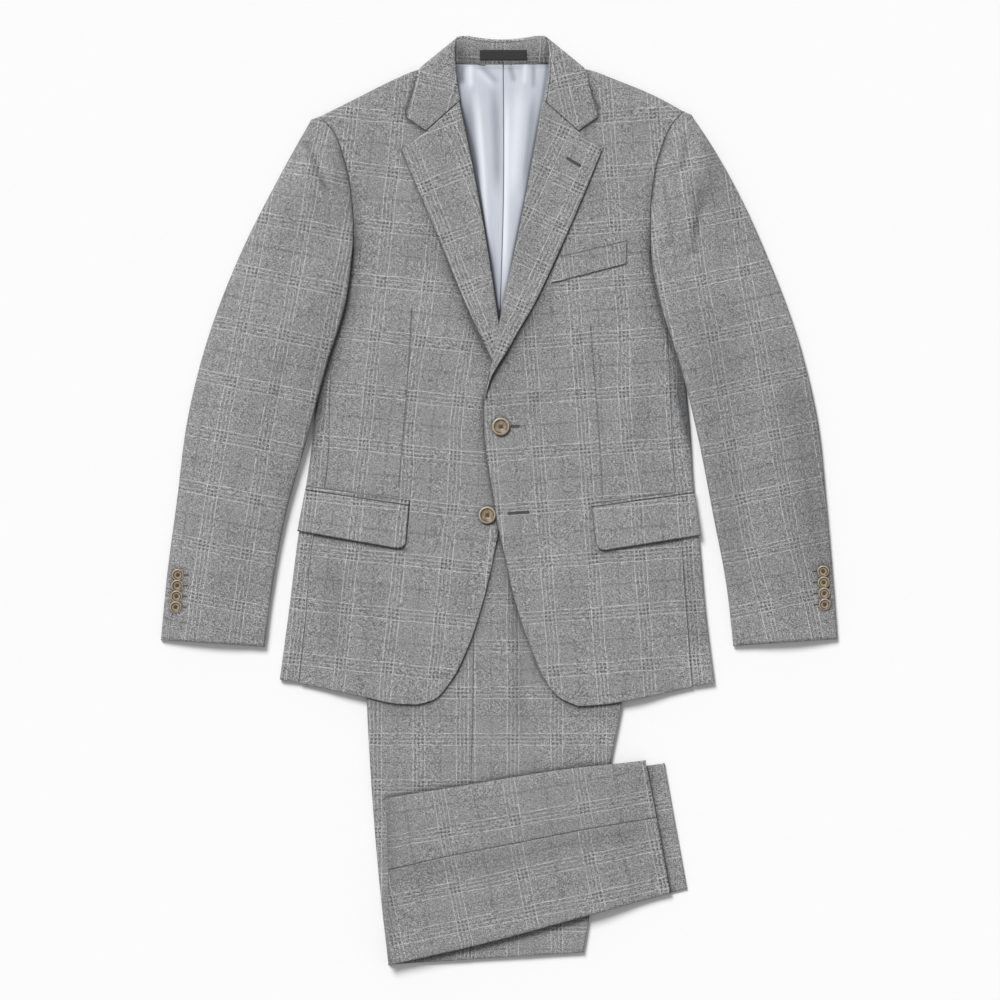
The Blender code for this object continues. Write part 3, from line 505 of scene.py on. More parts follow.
def heights(points, nodes, beneath=False):
    """The upper (or lower) surface of these nodes over each point, in mm."""
    trees = [surface_of(node) for node in nodes]
    way = Vector((0, 0, 1 if beneath else -1))
    start = -0.1 if beneath else 0.1
    flat = points.reshape(-1, 2)
    found = np.full(len(flat), np.nan)
    for i, (x, y) in enumerate(flat * MM):
        hits = [tree.ray_cast(Vector((x, y, start)), way)[0] for tree in trees]
        levels = [hit.z / MM for hit in hits if hit]
        if levels:
            found[i] = min(levels) if beneath else max(levels)
    for i in np.flatnonzero(np.isnan(found)):
        place = Vector((*(flat[i] * MM), -0.003 if beneath else 0.012))
        near = [tree.find_nearest(place)[0] for tree in trees]
        found[i] = min(near, key=lambda hit: (hit - place).length).z / MM
    return found.reshape(points.shape[:-1])


def averaged(level, rounds):
    """Neighbouring heights evened out, with the border pulled along."""
    for _ in range(rounds):
        wide = np.pad(level, 1, mode="edge")
        level = (wide[:-2, 1:-1] + wide[2:, 1:-1] + wide[1:-1, :-2] + wide[1:-1, 2:] + 2 * level) / 6
    return level


def waviness(points, size, length=90.0, seed=0.0):
    """The slow rise and fall of cloth that was smoothed by hand."""
    flat = points.reshape(-1, 2) / length
    made = [noise.noise((x * 1.6, y, seed)) for x, y in flat]
    return size * np.array(made).reshape(points.shape[:-1])


def creases(points, folds):
    """Soft ridges and hollows: (x0, y0, x1, y1, half width, height) each, fading out at both ends."""
    level = np.zeros(points.shape[:-1])
    for x0, y0, x1, y1, half, height in folds:
        start, way = np.array([x0, y0], float), np.array([x1 - x0, y1 - y0], float)
        length = np.linalg.norm(way)
        way /= length
        off = points - start
        along = off @ way
        away = off[..., 0] * way[1] - off[..., 1] * way[0]
        fade = rise(along, -half, 2.5 * half) * (1 - rise(along, length - 1.5 * half, 2.5 * half))
        level += height * np.exp(-(away / half) ** 2) * fade
    return level


print("back_left lies at", heights(np.array([[60.0, 100.0]]), ["back_left"]).round(2), "mm")

# %% [markdown]
# ## How the jacket lies
# A buttoned jacket never lies quite flat: it is drawn in towards its button and hollow in front of the
# armhole. That slow relief is one function of the place, and every piece on the body follows it, so
# a lapel, a flap or a button always lies on the front beneath it.

# %% The relief of the body
JACKET_FOLDS = [
    # from (x, y) to (x, y), half width and height in mm
    (-152, 420, -138, 300, 17, -1.1), (-92, 400, -84, 290, 24, 1.3), (-24, 112, -92, 150, 13, 1.2),
    (-50, 215, -92, 200, 12, -0.9), (-110, 262, -96, 205, 12, -1.0), (-30, 30, -110, 62, 16, 1.0),
    (-160, 190, -150, 70, 16, 1.0), (-150, -80, -168, -190, 20, 1.3), (-60, -90, -88, -190, 16, 1.0),
    (158, 425, 146, 310, 17, -1.1), (92, 405, 86, 330, 22, 1.0), (28, 118, 92, 160, 12, 1.2),
    (44, 200, 84, 214, 12, -0.9), (40, 28, 112, 66, 16, 1.0), (160, 190, 152, 70, 16, 1.0),
    (150, -80, 166, -190, 20, 1.2), (62, -90, 92, -190, 16, 1.0),
]
BODY_SIDE = {side: x_at(ARMHOLE[side] + SIDE_SEAM[side][1:]) for side in SIDES}


def lie(points):
    """How much higher or lower than flat the jacket lies, in mm."""
    x, y = points[..., 0], points[..., 1]
    inside = np.minimum(x - BODY_SIDE["right"](y), BODY_SIDE["left"](y) - x)
    level = 0.5 + creases(points, JACKET_FOLDS) + waviness(points, 1.4, 58.0, 5.0)
    return level * rise(inside, 2, 40) * rise(y, -236, 40) * (1 - rise(y, 425, 50))


print("between the pockets it lies", lie(np.array([[0.0, 0.0]])).round(2), "mm off the flat")

# %% [markdown]
# ## Turning the edges
# A tailor never leaves a raw edge: the cloth is folded under, which gives every edge its small round
# lip and the shadow beneath it, deepened by painted shade. A seam is two such lips face to face, pressed
# flat. So each side of a piece has a profile, from the outline inwards: how far in, how much of the way
# up from the foot of the edge to the top of the piece, and how much painted shade it has. A folded sleeve
# has a wider, rounder profile. A crisp edge, as on a flap, is a fine line of painted shade. The lapel runs
# out at its lower end: there the profile is nearly flat and has no painted shade, so that the lapel passes
# into the front's own edge.


# %% Edge profiles
def fold(radius, steps=7, dark=0.6):
    """A half-round fold: from underneath, round the outline, and up. Painted shade darkens its lower half."""
    return [(radius * (1 - math.sqrt(1 - a * a)), (1 + a) / 2, dark * min(1.0, 1 - a))
            for a in np.linspace(-1, 1, steps)]


TURNED = fold(1.0, 5)
# the third number of each line is its painted shade
SEWN = [(0.0, 0.1, 0.75), (0.3, 0.6, 0.3), (0.8, 0.9, 0.04), (1.7, 1.0, 0.0)]
SOFTLY_SEWN = [(inward, (1 + level) / 2, 0.3 * dark) for inward, level, dark in SEWN]
CRISP = [(0.0, 0.1, 1.3), (0.25, 0.6, 1.3), (0.7, 0.96, 1.1), (1.1, 1.0, 0.7), (1.7, 1.0, 0.0)]
FLAT = [(0.0, 1.0, 0.0)]
RUNNING_OUT = [(0.0, 0.8, 0.0), (10.0, 0.9, 0.0), (24.0, 1.0, 0.0)]


def stations(first, second, count, marks=()):
    """Grid lines across a piece: rows of (mm from its side, share of the rest, level, dark).

    first and second are the profiles of its two sides. marks are (share, mm) for extra lines.
    """
    low, high = (max(inward for inward, _, _ in side) for side in (first, second))
    lines = [(inward, 0.0, level, dark) for inward, level, dark in first]
    room = max(1.0 / count, 0.027)
    even = [(i / count, 0.0) for i in range(1, count)]
    even = [line for line in even if all(abs(line[0] - mark[0]) > room for mark in marks)]
    lines += [(low + offset, share, 1.0, 0.0) for share, offset in sorted(even + list(marks))]
    lines += [(low + high - inward, 1.0, level, dark) for inward, level, dark in reversed(second)]
    return np.array(lines), low + high


def inset(lines, edges, width):
    """Where the grid lines fall, as shares of a width in mm. A narrow piece gets narrower edges."""
    shrink = np.minimum(1.0, 0.7 * width / max(edges, 1e-6))
    return (shrink * lines[0] + lines[1] * (width - shrink * edges)) / width


print("a turned edge has", len(TURNED), "lines, and a sewn one", len(SEWN))

# %% [markdown]
# ## The grain of each piece
# Cutting coordinates say where a point of the piece was on the bolt of cloth. Most pieces are cut
# straight and lie turned a few degrees. A sleeve is set so that its threads follow the bent arm, so its
# lengthwise bands follow a curve, and its crosswise ones slope.


# %% Cutting coordinates
def eased(distance, pitch, give):
    """Bands at give times their pitch: the ground between them gives, and the bands keep their width."""
    nearest = np.round(distance / (pitch * give))
    off = distance - nearest * pitch * give
    spare = np.clip(np.abs(off) - BAND_HALF, 0, None)
    share = (pitch / 2 - BAND_HALF) / (pitch * give / 2 - BAND_HALF)
    return (nearest + 0.5) * pitch + np.sign(off) * (np.abs(off) - spare * (1 - share))


def straight_cut(x0, y0, turn=0.0, across=1.0, along=1.0):
    """Two bands cross at (x0, y0), the cloth is turned so many degrees, and its pitch may be eased."""
    c, s = math.cos(math.radians(turn)), math.sin(math.radians(turn))

    def weave(points):
        x, y = points[..., 0] - x0, points[..., 1] - y0
        u, v = x * c + y * s, y * c - x * s
        return np.stack([eased(u, ACROSS_PITCH, across), eased(v, ALONG_PITCH, along)], -1)

    return weave


def bent_cut(band, slope, crossing, across=1.0, along=1.0, lower=1.0):
    """A lengthwise band follows the curve `band`; crosswise ones rise by slope degrees to the right.

    The two cross at `crossing`, and the crosswise ones below it lie `lower` times as far apart.
    """
    middle, rise_by = x_at(band), math.tan(math.radians(slope))

    def weave(points):
        x, y = points[..., 0], points[..., 1]
        up = y - crossing[1] - (x - crossing[0]) * rise_by
        up = np.where(up < 0, up / lower, up)
        return np.stack([eased((x - middle(y)) * 0.98, ACROSS_PITCH, across),
                         eased(up * math.cos(math.radians(slope)), ALONG_PITCH, along)], -1)

    return weave


def taken_in(weave, dart, width, top, bottom):
    """A dart takes in a little cloth, so the bands step sideways where they cross it."""
    line = x_at(dart)

    def stepped(points):
        x, y = points[..., 0], points[..., 1]
        deep = width * rise(y, bottom, 70) * (1 - rise(y, top - 90, 90))
        past = np.clip((x - line(y)) / 0.8 + 0.5, 0, 1)
        return weave(points) + np.stack([deep * past, 0.35 * deep * past], -1)

    return stepped


GRAIN = {
    "front_right": taken_in(straight_cut(-141.9, 190.0, -6.0), DART["right"], 5.0, 223, 16),
    "front_left": taken_in(straight_cut(94.0, 123.3, 4.2), DART["left"], 5.0, 203, 3),
    "side_right": straight_cut(-205.0, 150.0, -8.0),
    "side_left": straight_cut(205.0, 150.0, 7.0),
    "back_right": straight_cut(-27.0, 40.0),
    "back_left": straight_cut(27.0, 40.0),
    "lapel_right": straight_cut(-59.8, 303.0, 21.5, 0.93),
    "lapel_left": straight_cut(69.0, 314.5, -25.0, 0.78, 0.80),
    "sleeve_right": bent_cut([(-250, 440), (-258, 404), (-271, 327), (-294, 205), (-318.5, 74), (-338, -48),
                              (-356, -175)], -11.5, (-338, -50.8), 0.92, 1.01, 0.95),
    "sleeve_left": bent_cut([(207, 430), (213.7, 383), (221, 333), (231, 258), (246, 183), (256, 125),
                             (279, -6), (290.6, -61.5), (305.9, -121), (318, -175)],
                            12.5, (246, 189), 0.94, 1.05, 0.95),
    "trousers_front": straight_cut(-92.0, -273.0, 0.0, 0.92, 0.85),
    "trousers_back": straight_cut(16.0, -273.0, 0.0, 0.93, 0.85),
    "folded_leg_front": straight_cut(-61.5, -379.0, 9.8, 1.5, 0.98),
    "folded_leg_back": straight_cut(-50.5, -443.0, 11.8, 1.46, 0.70),
    "second_leg": straight_cut(168.0, -352.0, 12.0, 1.3, 0.9),
    "breast_welt": straight_cut(94.0, 123.3, 6.0),
    "plain": straight_cut(0.0, 0.0),
}
print(len(GRAIN), "pieces have their grain")

# %% [markdown]
# ## Sewing a grid
# `sew` takes the finished points of a piece and makes the mesh: a bmesh grid whose vertices are moved
# into place, with the cutting coordinates as a UV map and the painted shade as an attribute. Solidify
# then gives the cloth its real half millimetre, inwards, so that an edge looked at from below is closed.
# `declare` works out what the sheet measures flat, as a tape laid over it both ways would: its widest
# girth and its longest run, but it keeps these sizes nowhere.


# %% From points to cloth
SKIN = 0.45  # mm, how thick the cloth is
LEAST_FLAT, LEAST_SHARE = 0.0101, 0.31


def as_object(name, bm):
    """Puts a finished bmesh in the scene."""
    mesh = bpy.data.meshes.new(name)
    bm.to_mesh(mesh)
    bm.free()
    made = bpy.data.objects.new(name, mesh)
    bpy.context.scene.collection.objects.link(made)
    return made


def join_suit(made, material, slot, nodes=()):
    """Gives a piece its material and its body, and lets it stand for its solids."""
    made.data.materials.append(material)
    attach(made, "root")
    if nodes:
        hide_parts(*nodes)
    return made


def sew(name, points, cut, shade, skin=SKIN, outwards=(0, 0, 1)):
    """A grid of 3-D points in mm as a sheet of cloth whose faces look outwards at its middle."""
    columns, rows = shade.shape
    bm = bmesh.new()
    bmesh.ops.create_grid(bm, x_segments=columns - 1, y_segments=rows - 1, size=0.5)
    uv = bm.loops.layers.uv.new("cut")
    # the painted shade of each point, and on the lining its painted sheen
    painted_shade_and_sheen = bm.verts.layers.float.new("painted_shade_and_sheen")
    place = {}
    for vert in bm.verts:
        i, j = round((vert.co.x + 0.5) * (columns - 1)), round((0.5 - vert.co.y) * (rows - 1))
        place[vert] = i, j
    for vert, at in place.items():
        vert.co, vert[painted_shade_and_sheen] = Vector(points[at]) * MM, shade[at]
    for face in bm.faces:
        for loop in face.loops:
            loop[uv].uv = cut[place[loop.vert]]
    middle = Vector()
    for face in bm.faces:
        face.normal_update()
        middle += face.normal * face.calc_area()
    if middle.dot(Vector(outwards)) < 0:
        bmesh.ops.reverse_faces(bm, faces=bm.faces[:])
    made = as_object(name, bm)
    made.data.shade_smooth()
    wall = made.modifiers.new("cloth", "SOLIDIFY")
    wall.thickness, wall.offset = skin * MM, -1
    return made


def declare(made, material, slot, nodes, points, rests_on, held="laid"):
    """Finishes a sheet: its material, its body and the solids it stands for, and works out its flat size."""
    join_suit(made, material, slot, nodes)
    evaluated = made.evaluated_get(bpy.context.evaluated_depsgraph_get()).to_mesh()
    area = sum(face.area for face in evaluated.polygons) / 2  # both faces of the cloth
    taped = [np.linalg.norm(np.diff(points, axis=way), axis=-1).sum(way).max() * MM for way in (0, 1)]
    across, along = (max(length, LEAST_FLAT) for length in taped)
    across *= max(1.0, 1.01 * area / (across * along))
    max(area, LEAST_SHARE * across * along)
    return made


print("cloth is sewn as a", cloth.name, "sheet")

# %% [markdown]
# ## The cutter
# `piece` does one panel from start to end: grid lines, plan, height, edges, seams, cloth. A panel that
# faces the floor is made the same way, looking down. A seam is (curve, half width, depth, dark), where
# dark is its painted shade, and may have a fifth number, the share of its length over which it dies away
# at both ends. Without depth it is a painted shadow only, laid beside an edge that lies on the piece.


# %% Cutting one piece
def beside(points, line, count=160):
    """How far each point is from a curve, and its share of the way along it."""
    flat, dots = points.reshape(-1, 2), line(np.linspace(0, 1, count))
    best, share = np.full(len(flat), 1e9), np.zeros(len(flat))
    for i, (p, way) in enumerate(zip(dots, np.diff(dots, axis=0))):
        t = np.clip(((flat - p) @ way) / max(way @ way, 1e-9), 0, 1)
        away = np.linalg.norm(flat - p - t[:, None] * way, axis=1)
        share = np.where(away < best, (i + t) / (count - 1), share)
        best = np.minimum(best, away)
    return best.reshape(points.shape[:-1]), share.reshape(points.shape[:-1])


def grooves(points, seams):
    """How deep each seam is pressed into each point, and how much painted shade it lays there."""
    for line, half, depth, dark, *tip in seams:
        away, share = beside(points, line)
        groove = np.exp(-(away / half) ** 2)
        if tip:
            groove = groove * ease(np.minimum(share, 1 - share) / tip[0])
        yield depth * groove, dark * groove


def piece(name, plan, count, sides, on, nodes=None, wall=1.3, foot=None, beneath=False, grain="plain",
          folds=(), wave=0.3, smooth=4, keep=2.2, seams=(), material=None, slot="suit_cloth", marks=(),
          swell=None, rests_on=("back_right",), held="laid", skin=SKIN, follows=False):
    """A panel over plan(u, v), laid on the solids `on`. sides are its first, second, top and bottom.

    It keeps `keep` mm inside the solids' own rims when it looks for its height. foot gives the height
    where its edges end, and is `wall` mm below the top if left out. follows adds the body's relief.
    """
    (across, wide), (along, high) = stations(*sides[:2], count[0], marks), stations(*sides[2:], count[1])
    columns, rows = across.T[:, :, None], along.T[:, None, :]
    one = np.ones((len(across), len(along)))
    near_u, near_v = columns[1] * one, rows[1] * one
    width = np.maximum(np.linalg.norm(plan(0 * one + 1, near_v) - plan(0 * one, near_v), axis=-1), 3.0)
    length = np.maximum(np.linalg.norm(plan(near_u, 0 * one + 1) - plan(near_u, 0 * one), axis=-1), 3.0)
    u, v = inset(columns, wide, width), inset(rows, high, length)
    clear_u, clear_v = np.minimum(keep / width, 0.4), np.minimum(keep / length, 0.4)
    points = plan(u, v)
    under = plan(np.clip(u, clear_u, 1 - clear_u), np.clip(v, clear_v, 1 - clear_v))
    side = -1 if beneath else 1
    top = averaged(heights(under, on, beneath), smooth) + side * waviness(points, wave, seed=len(name) * 1.7)
    top = top + creases(points, folds) + (0 if swell is None else swell(u, v))
    # painted shade: the edges' own, then each seam's and each shadow's
    shade = np.maximum(columns[3] * one, rows[3] * one)
    for depth, dark in grooves(points, seams):
        top, shade = top - side * depth, shade + dark
    if beneath:
        top = np.maximum(top, 0.0)
    base = top - side * wall if foot is None else foot(points, top)
    z = base + (top - base) * np.minimum(columns[2] * one, rows[2] * one) + (lie(points) if follows else 0)
    cut = GRAIN[grain](points)
    points = np.concatenate([points, z[..., None]], -1)
    made = sew(name, points, cut, shade, skin, (0, 0, side))
    return declare(made, material or cloth, slot, nodes or on, points, list(rests_on), held)


def shadow(points, half, dark, *tip):
    """A soft band of painted shadow along some points."""
    return curve(points), half, 0.0, dark, *tip


def shade_of(points, half, dark, *tip):
    """Painted shadow, narrow and dark in a wider, fainter one, where another piece's edge lies on this."""
    return [shadow(points, half, dark, *tip), shadow(points, 3.2 * half, 0.45 * dark, *tip)]


def shade_round(x, y, radius, half, dark):
    """The ring of painted shadow that a button throws on the cloth under its rim."""
    ring = lambda t: np.stack([x + radius * np.cos(math.tau * t), y + radius * np.sin(math.tau * t)], -1)
    return ring, half, 0.0, dark


def through(plan, line, at):
    """Bends a plan so that its column at share `at` follows a line that runs down it."""
    x_of = x_at(line)

    def bent(u, v):
        p, middle = plan(u, v), plan(0 * u + at, v)
        pull = (x_of(middle[..., 1]) - middle[..., 0]) * np.minimum(u / at, (1 - u) / (1 - at))
        pull = pull * rise(v, 0.0, 0.33) * (1 - rise(v, 0.7, 0.3))  # the outline keeps its place
        return p + np.stack([pull, 0 * pull], -1)

    return bent


print("ready to cut")

# %% [markdown]
# ## Camera, floor and light
# The suit is looked at from straight above with a long lens, so nothing leans. The floor is a white
# studio board. One wide lamp from above the collar, a little to the left, gives the soft shadows that
# fall towards the hem and to the right, and a bright sky fills them.


# %% Camera
def look_down(width, middle_x, middle_y, distance=4.0):
    """A camera straight above a place, which sees this width of the floor, in metres."""
    data = bpy.data.cameras.new("camera")
    data.sensor_width, data.lens = 36.0, 36.0 * distance / width
    data.clip_end = 50.0
    camera = bpy.data.objects.new("camera", data)
    camera.location = (middle_x, middle_y, distance)
    bpy.context.scene.collection.objects.link(camera)
    bpy.context.scene.camera = camera


look_down(width=1.15, middle_x=0.00115, middle_y=0.00170)
print("the lens is", round(bpy.context.scene.camera.data.lens), "mm")


# %% Floor and lamp
FLOOR_DROP = -0.0004  # m, so that the back's own underside isn't in the board


def studio_floor():
    bm = bmesh.new()
    bmesh.ops.create_grid(bm, x_segments=8, y_segments=8, size=4.0)
    board = as_object("studio_board", bm)
    board.location.z = FLOOR_DROP
    finish = Finish("white_board", 0.9, Specular_IOR_Level=0.1)
    grain = finish.noise(finish.object_place(), 300.0, 2.0)
    finish.set("Base Color", finish.blend(grain, (0.93, 0.93, 0.93, 1), (0.955, 0.955, 0.955, 1)))
    board.data.materials.append(finish.material)
    board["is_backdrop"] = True


def lamp(name, towards, spread, strength):
    """A lamp as wide as `spread` degrees of the sky, in the direction `towards`."""
    data = bpy.data.lights.new(name, "SUN")
    data.angle, data.energy = math.radians(spread), strength
    made = bpy.data.objects.new(name, data)
    made.location = Vector(towards) * 2
    made.rotation_euler = (-Vector(towards)).to_track_quat("-Z", "Y").to_euler()
    bpy.context.scene.collection.objects.link(made)


def sky(strength):
    world = bpy.data.worlds.new("studio")
    bpy.context.scene.world = world
    world.use_nodes = True
    world.node_tree.nodes["Background"].inputs["Color"].default_value = (1, 1, 1, 1)
    world.node_tree.nodes["Background"].inputs["Strength"].default_value = strength


studio_floor()
lamp("key", (-0.42, 0.78, 0.80), 24, 3.1)
sky(0.37)
bpy.context.scene.view_settings.view_transform = "Standard"
print("floor, lamp and sky")

# %% [markdown]
# ## The back and the neck lining
# The back lies face down on the floor, so only its outside can be seen, from below. Above it, in the
# opening of the neck, is the satin lining. It hangs a little loose, in long soft pleats either side of
# the centre seam. Satin shows its folds by what they reflect, more than by their depth of a millimetre,
# so each pleat has a painted shade or a painted sheen of its own beside its relief.


# %% Back panels
UNDERARM_SHARE = 8 / 22  # of the way from the shoulder point to the hem
UNDER_WIDTH = 28.0  # mm from the silhouette in to the seam beneath


def side_line(side):
    """Armhole, then side seam."""
    return joined(curve(ARMHOLE[side]), curve(SIDE_SEAM[side]), UNDERARM_SHARE)


def under_seam(side):
    """The seam of the back and the side panel, beneath the jacket."""
    points = [(x - SIDES[side] * UNDER_WIDTH, y) for x, y in SIDE_EDGE[side]]
    return curve(points[:-1] + [(points[-1][0], -203)])


def cut_back(side):
    sign = SIDES[side]
    seam = under_seam(side)
    armhole = curve(ARMHOLE[side][:5] + [tuple(seam(0.0))])
    outer = joined(armhole, seam, UNDERARM_SHARE)
    middle = curve([(NECK_X + sign * 0.2, 502.5), (sign * 0.2, 330), (sign * 0.2, -212)])
    shoulder = curve([tuple(middle(0.0)), (NECK_X + sign * 45, 502.5), (NECK_X + sign * 61, 508),
                      (NECK_X + sign * 88, 496)] + SHOULDER[side][1:])
    hem = curve([tuple(middle(1.0)), tuple(outer(1.0))])
    lift = lambda points, under: under + 1.0
    return piece(f"back_panel_{side}", framed(middle, outer, shoulder, hem), (26, 60),
                 (SEWN, SEWN, TURNED, TURNED), [f"back_{side}"], beneath=True, foot=lift,
                 grain=f"back_{side}", wave=0.0, rests_on=["studio_board"])


for side in SIDES:
    cut_back(side)
print("two back panels")

# %% Lining
PLEATS = {
    # points down the pleat, half width, depth (a ridge is less than 0) and painted shade (painted sheen below
    # 0)
    "right": [([(-47, 480), (-29, 379), (-11, 285), (0, 215)], 4.4, 0.3, 0.95),
              ([(-38, 480), (-29, 412), (-20, 350)], 5.0, 0.5, 0.42),
              ([(-27, 492), (-22.5, 442), (-18.5, 392), (-12, 300), (-5, 240)], 4.0, -1.3, -1.1),
              ([(-7, 490), (-3.5, 437), (-1, 340)], 5.5, 0.6, 0.45),
              ([(-42.5, 504), (-42.5, 476)], 3.4, 0.4, 0.6), ([(-32.5, 504), (-31.5, 470)], 3.4, -0.8, -0.9),
              ([(-24, 503), (2, 478)], 3.6, 0.5, 0.35), ([(-27, 496), (-3, 472)], 3.2, -0.5, -0.4)],
    "left": [([(9.5, 490), (9.5, 367), (6, 230)], 3.6, -1.0, -1.3),
             ([(26, 495), (21, 420), (14, 330)], 8.0, -0.8, -0.8),
             ([(41, 480), (34, 405), (26, 345)], 5.0, 0.5, 0.45),
             ([(51, 480), (34, 367), (17, 285), (6, 230)], 2.4, 0.0, 0.4),
             ([(12, 503), (19, 478)], 3.2, 0.5, 0.45), ([(40, 505), (40, 470)], 3.0, 0.5, 0.45),
             ([(31, 505), (30, 474)], 3.0, -0.6, -0.6)],
}


def cut_lining(side):
    sign = SIDES[side]
    seam = curve([(5 + sign * 0.15, 502.2), (5.5 + sign * 0.15, 370), (1 + sign * 0.15, 201)])
    edge = curve([(NECK_X + sign * 54, 502.2), (NECK_X + sign * 54, 478), (NECK_X + sign * 55, 452),
                  (NECK_X + sign * 50, 370), (sign * 24, 201)])
    pleats = [(curve(points), half, depth, shade, 0.3) for points, half, depth, shade in PLEATS[side]]
    # painted shadows: of the lapel's roll, at the foot of the opening and under the stand
    shades = shade_of([(NECK_X + sign * 52, 500)] + ROLL_LINE[side], 2.4, 0.8 if side == "right" else 0.5)
    shades += [shadow([(0.5, 214), (0.5, 196)], 5.0, 1.1),
               shadow([(-50, 502), (5, 499), (57, 502)], 3.0, 0.3)]
    return piece(f"neck_lining_{side}", ruled(seam, edge), (48, 110), (SEWN, FLAT, SEWN, FLAT),
                 [f"lining_{side}"], material=lining_satin, slot="lining", seams=pleats + shades, wave=0.6,
                 wall=0.7, rests_on=[f"back_panel_{side}"], skin=0.3)


for side in SIDES:
    cut_lining(side)
print(sum(len(folds) for folds in PLEATS.values()), "pleats in the lining")

# %% [markdown]
# ## Side panels
# A jacket has no seam at its silhouette. Between the front and the back there is a narrow side panel,
# and when the jacket lies flat this panel wraps the edge: over the top, round, and in beneath. The sleeve
# lies on it and keeps the light off, most of all below the underarm, so the same painted shade is laid
# on it as on the front.


# %% Side panels
UNDERARM = {"right": [(-198, 150), (-214, 95), (-231, 25)], "left": [(200, 160), (212, 105), (226, 45)]}
HIP = {"right": [(-190, -50), (-189, -120), (-188, -200)], "left": [(216, -50), (222, -110), (228, -180)]}


def sleeve_shades(side):
    """The painted shade that the sleeve's inner edge throws on the body, and at the underarm and hip."""
    armhole_x = {"right": -166, "left": 173}[side]
    edge = [(armhole_x, y) for y in (350, 300)] + SLEEVE_INNER[side]
    return shade_of(edge, 3.2, 1.0, 0.25) + [
        shadow(edge, 15.0, 0.26, 0.3), shadow(UNDERARM[side], 9.0, 0.45, 0.35),
        shadow(UNDERARM[side], 4.0, 0.5, 0.35), shadow(HIP[side], 15.0, 0.3, 0.25)]


def wrap_side(side):
    sign = SIDES[side]
    seam, rim, under = curve(SIDE_SEAM[side]), curve(SIDE_EDGE[side]), under_seam(side)
    along, high = stations(FLAT, TURNED, 70)
    v = inset(along.T, high, 445.0)
    front, edge, back = seam(v), rim(v), under(v)
    height = averaged(heights(front + (sign * 1.2, 0), [f"side_{side}"])[None, :], 12)[0]
    shrink = 1.2 * (1 - along[:, 2])  # the hem's turned edge
    half = height / 2
    arm = half - shrink
    centre = edge[:, 0] - sign * half
    lines, shade = [], []

    def lay(x, y, z, dark=0.0):
        lines.append(np.stack([x, y, z], -1))
        shade.append(dark)

    for inward, level, dark in SOFTLY_SEWN:
        lay(front[:, 0] + sign * (inward + 0.15), front[:, 1], half + arm - 0.9 * (1 - level), dark)
    for share in np.linspace(0.12, 1, 6)[:-1]:
        lay(mix(front[:, 0] + sign * 1.9, centre, share), mix(front[:, 1], edge[:, 1], share), half + arm)
    for angle in np.radians(np.linspace(90, -90, 13)):
        lay(centre + sign * arm * math.cos(angle), edge[:, 1], half + arm * math.sin(angle))
    for share in (0.3, 0.6, 0.85, 1.0):
        lay(mix(centre, back[:, 0], share), mix(edge[:, 1], back[:, 1], share), half - arm)
    points = np.array(lines)
    # the cut cloth is the unrolled length round the edge, from the seam outwards
    steps = np.linalg.norm(np.diff(points, axis=0), axis=-1)
    round_it = np.concatenate([0 * steps[:1], np.cumsum(steps, 0)])
    unrolled = np.stack([front[:, 0] + sign * round_it, points[..., 1]], -1)
    cut = GRAIN[f"front_{side}"](unrolled)
    # the sleeve's painted shade, on the panel's upper face only
    cast = sum(dark for _, dark in grooves(points[..., :2], sleeve_shades(side))) * (points[..., 2] > 3.0)
    made = sew(f"side_panel_{side}", points, cut, np.array(shade)[:, None] + cast, outwards=(sign, 0, 0.2))
    return declare(made, cloth, "suit_cloth", [f"side_{side}"], points, [f"back_panel_{side}"], "folded")


for side in SIDES:
    print("side panel", side, [round(s * 1000) for s in wrap_side(side).dimensions], "mm")

# %% [markdown]
# ## Fronts
# Each front is one panel from the shoulder to the curved hem. A dart takes in the waist: a shallow
# groove with a crisp line of painted shade, which tapers to nothing at both ends, where the bands of the
# check step sideways. The grid is bent so that one of its columns runs exactly down the dart, and extra
# columns lie close beside it. Beside the roll of the lapel the front's own edge is set back, so that it
# stays hidden beneath the fold.


# %% Fronts
DART_AT = 0.47  # share of the front's width
DART_ENDS = {"right": (223, 16), "left": (203, 3)}
CLOSE = (-2.4, -1.3, -0.6, 0.0, 0.6, 1.3, 2.4)  # mm beside a seam
SET_BACK = 3.4  # mm from the roll line
# the hollow in front of the armhole, given painted shade
IN_FRONT_OF_ARM = {"right": [(-180, 408), (-168, 350), (-164, 300), (-168, 250)],
                   "left": [(182, 400), (174, 350), (172, 300), (176, 250)]}
COLLAR_LEAF = [(-90, 497), (-98, 474), (-106, 441), (-84, 425)]


def dart_line(side):
    top, bottom = DART_ENDS[side]
    x = x_at(DART[side])
    return curve([(x(y), y) for y in np.linspace(top, bottom, 6)])


def front_shades(side):
    """Painted shadows of what lies on the front: sleeve, flap, jet, lapel, collar, other front and button."""
    upper, lower, flap = (POCKETS[side][key] for key in ("upper", "lower", "flap"))
    lapel = LAPEL_EDGE[side]
    leaf = [(x if side == "right" else 2 * NECK_X - x, y) for x, y in COLLAR_LEAF]
    shades = sleeve_shades(side) + shade_of(flap, 1.8, 0.6)
    shades += [shadow(upper, 1.8, 0.4), shadow([lower[1], (flap[1][0], flap[1][1] + 12)], 1.9, 0.5)]
    shades += shade_of(lapel[:-1], 1.6, 0.6) + shade_of(lapel[3:], 3.0, 0.5, 0.2)
    shades += [shadow(lapel[2:], 21.0, 0.2), shadow(lapel[2:], 10.0, 0.3, 0.3),
               shadow(IN_FRONT_OF_ARM[side], 7.0, 0.35, 0.3)]
    shades += shade_of(leaf, 1.8, 0.75)
    if side == "right":
        shades += shade_of([(-17, 118)] + FRONT_EDGE["left"][:5], 2.2, 0.8)
    x, y, radius, _ = BUTTONS["button_front_bottom" if side == "right" else "button_front_top"]
    return shades + [shade_round(x, y, radius + 0.4, 1.7, 0.75)]


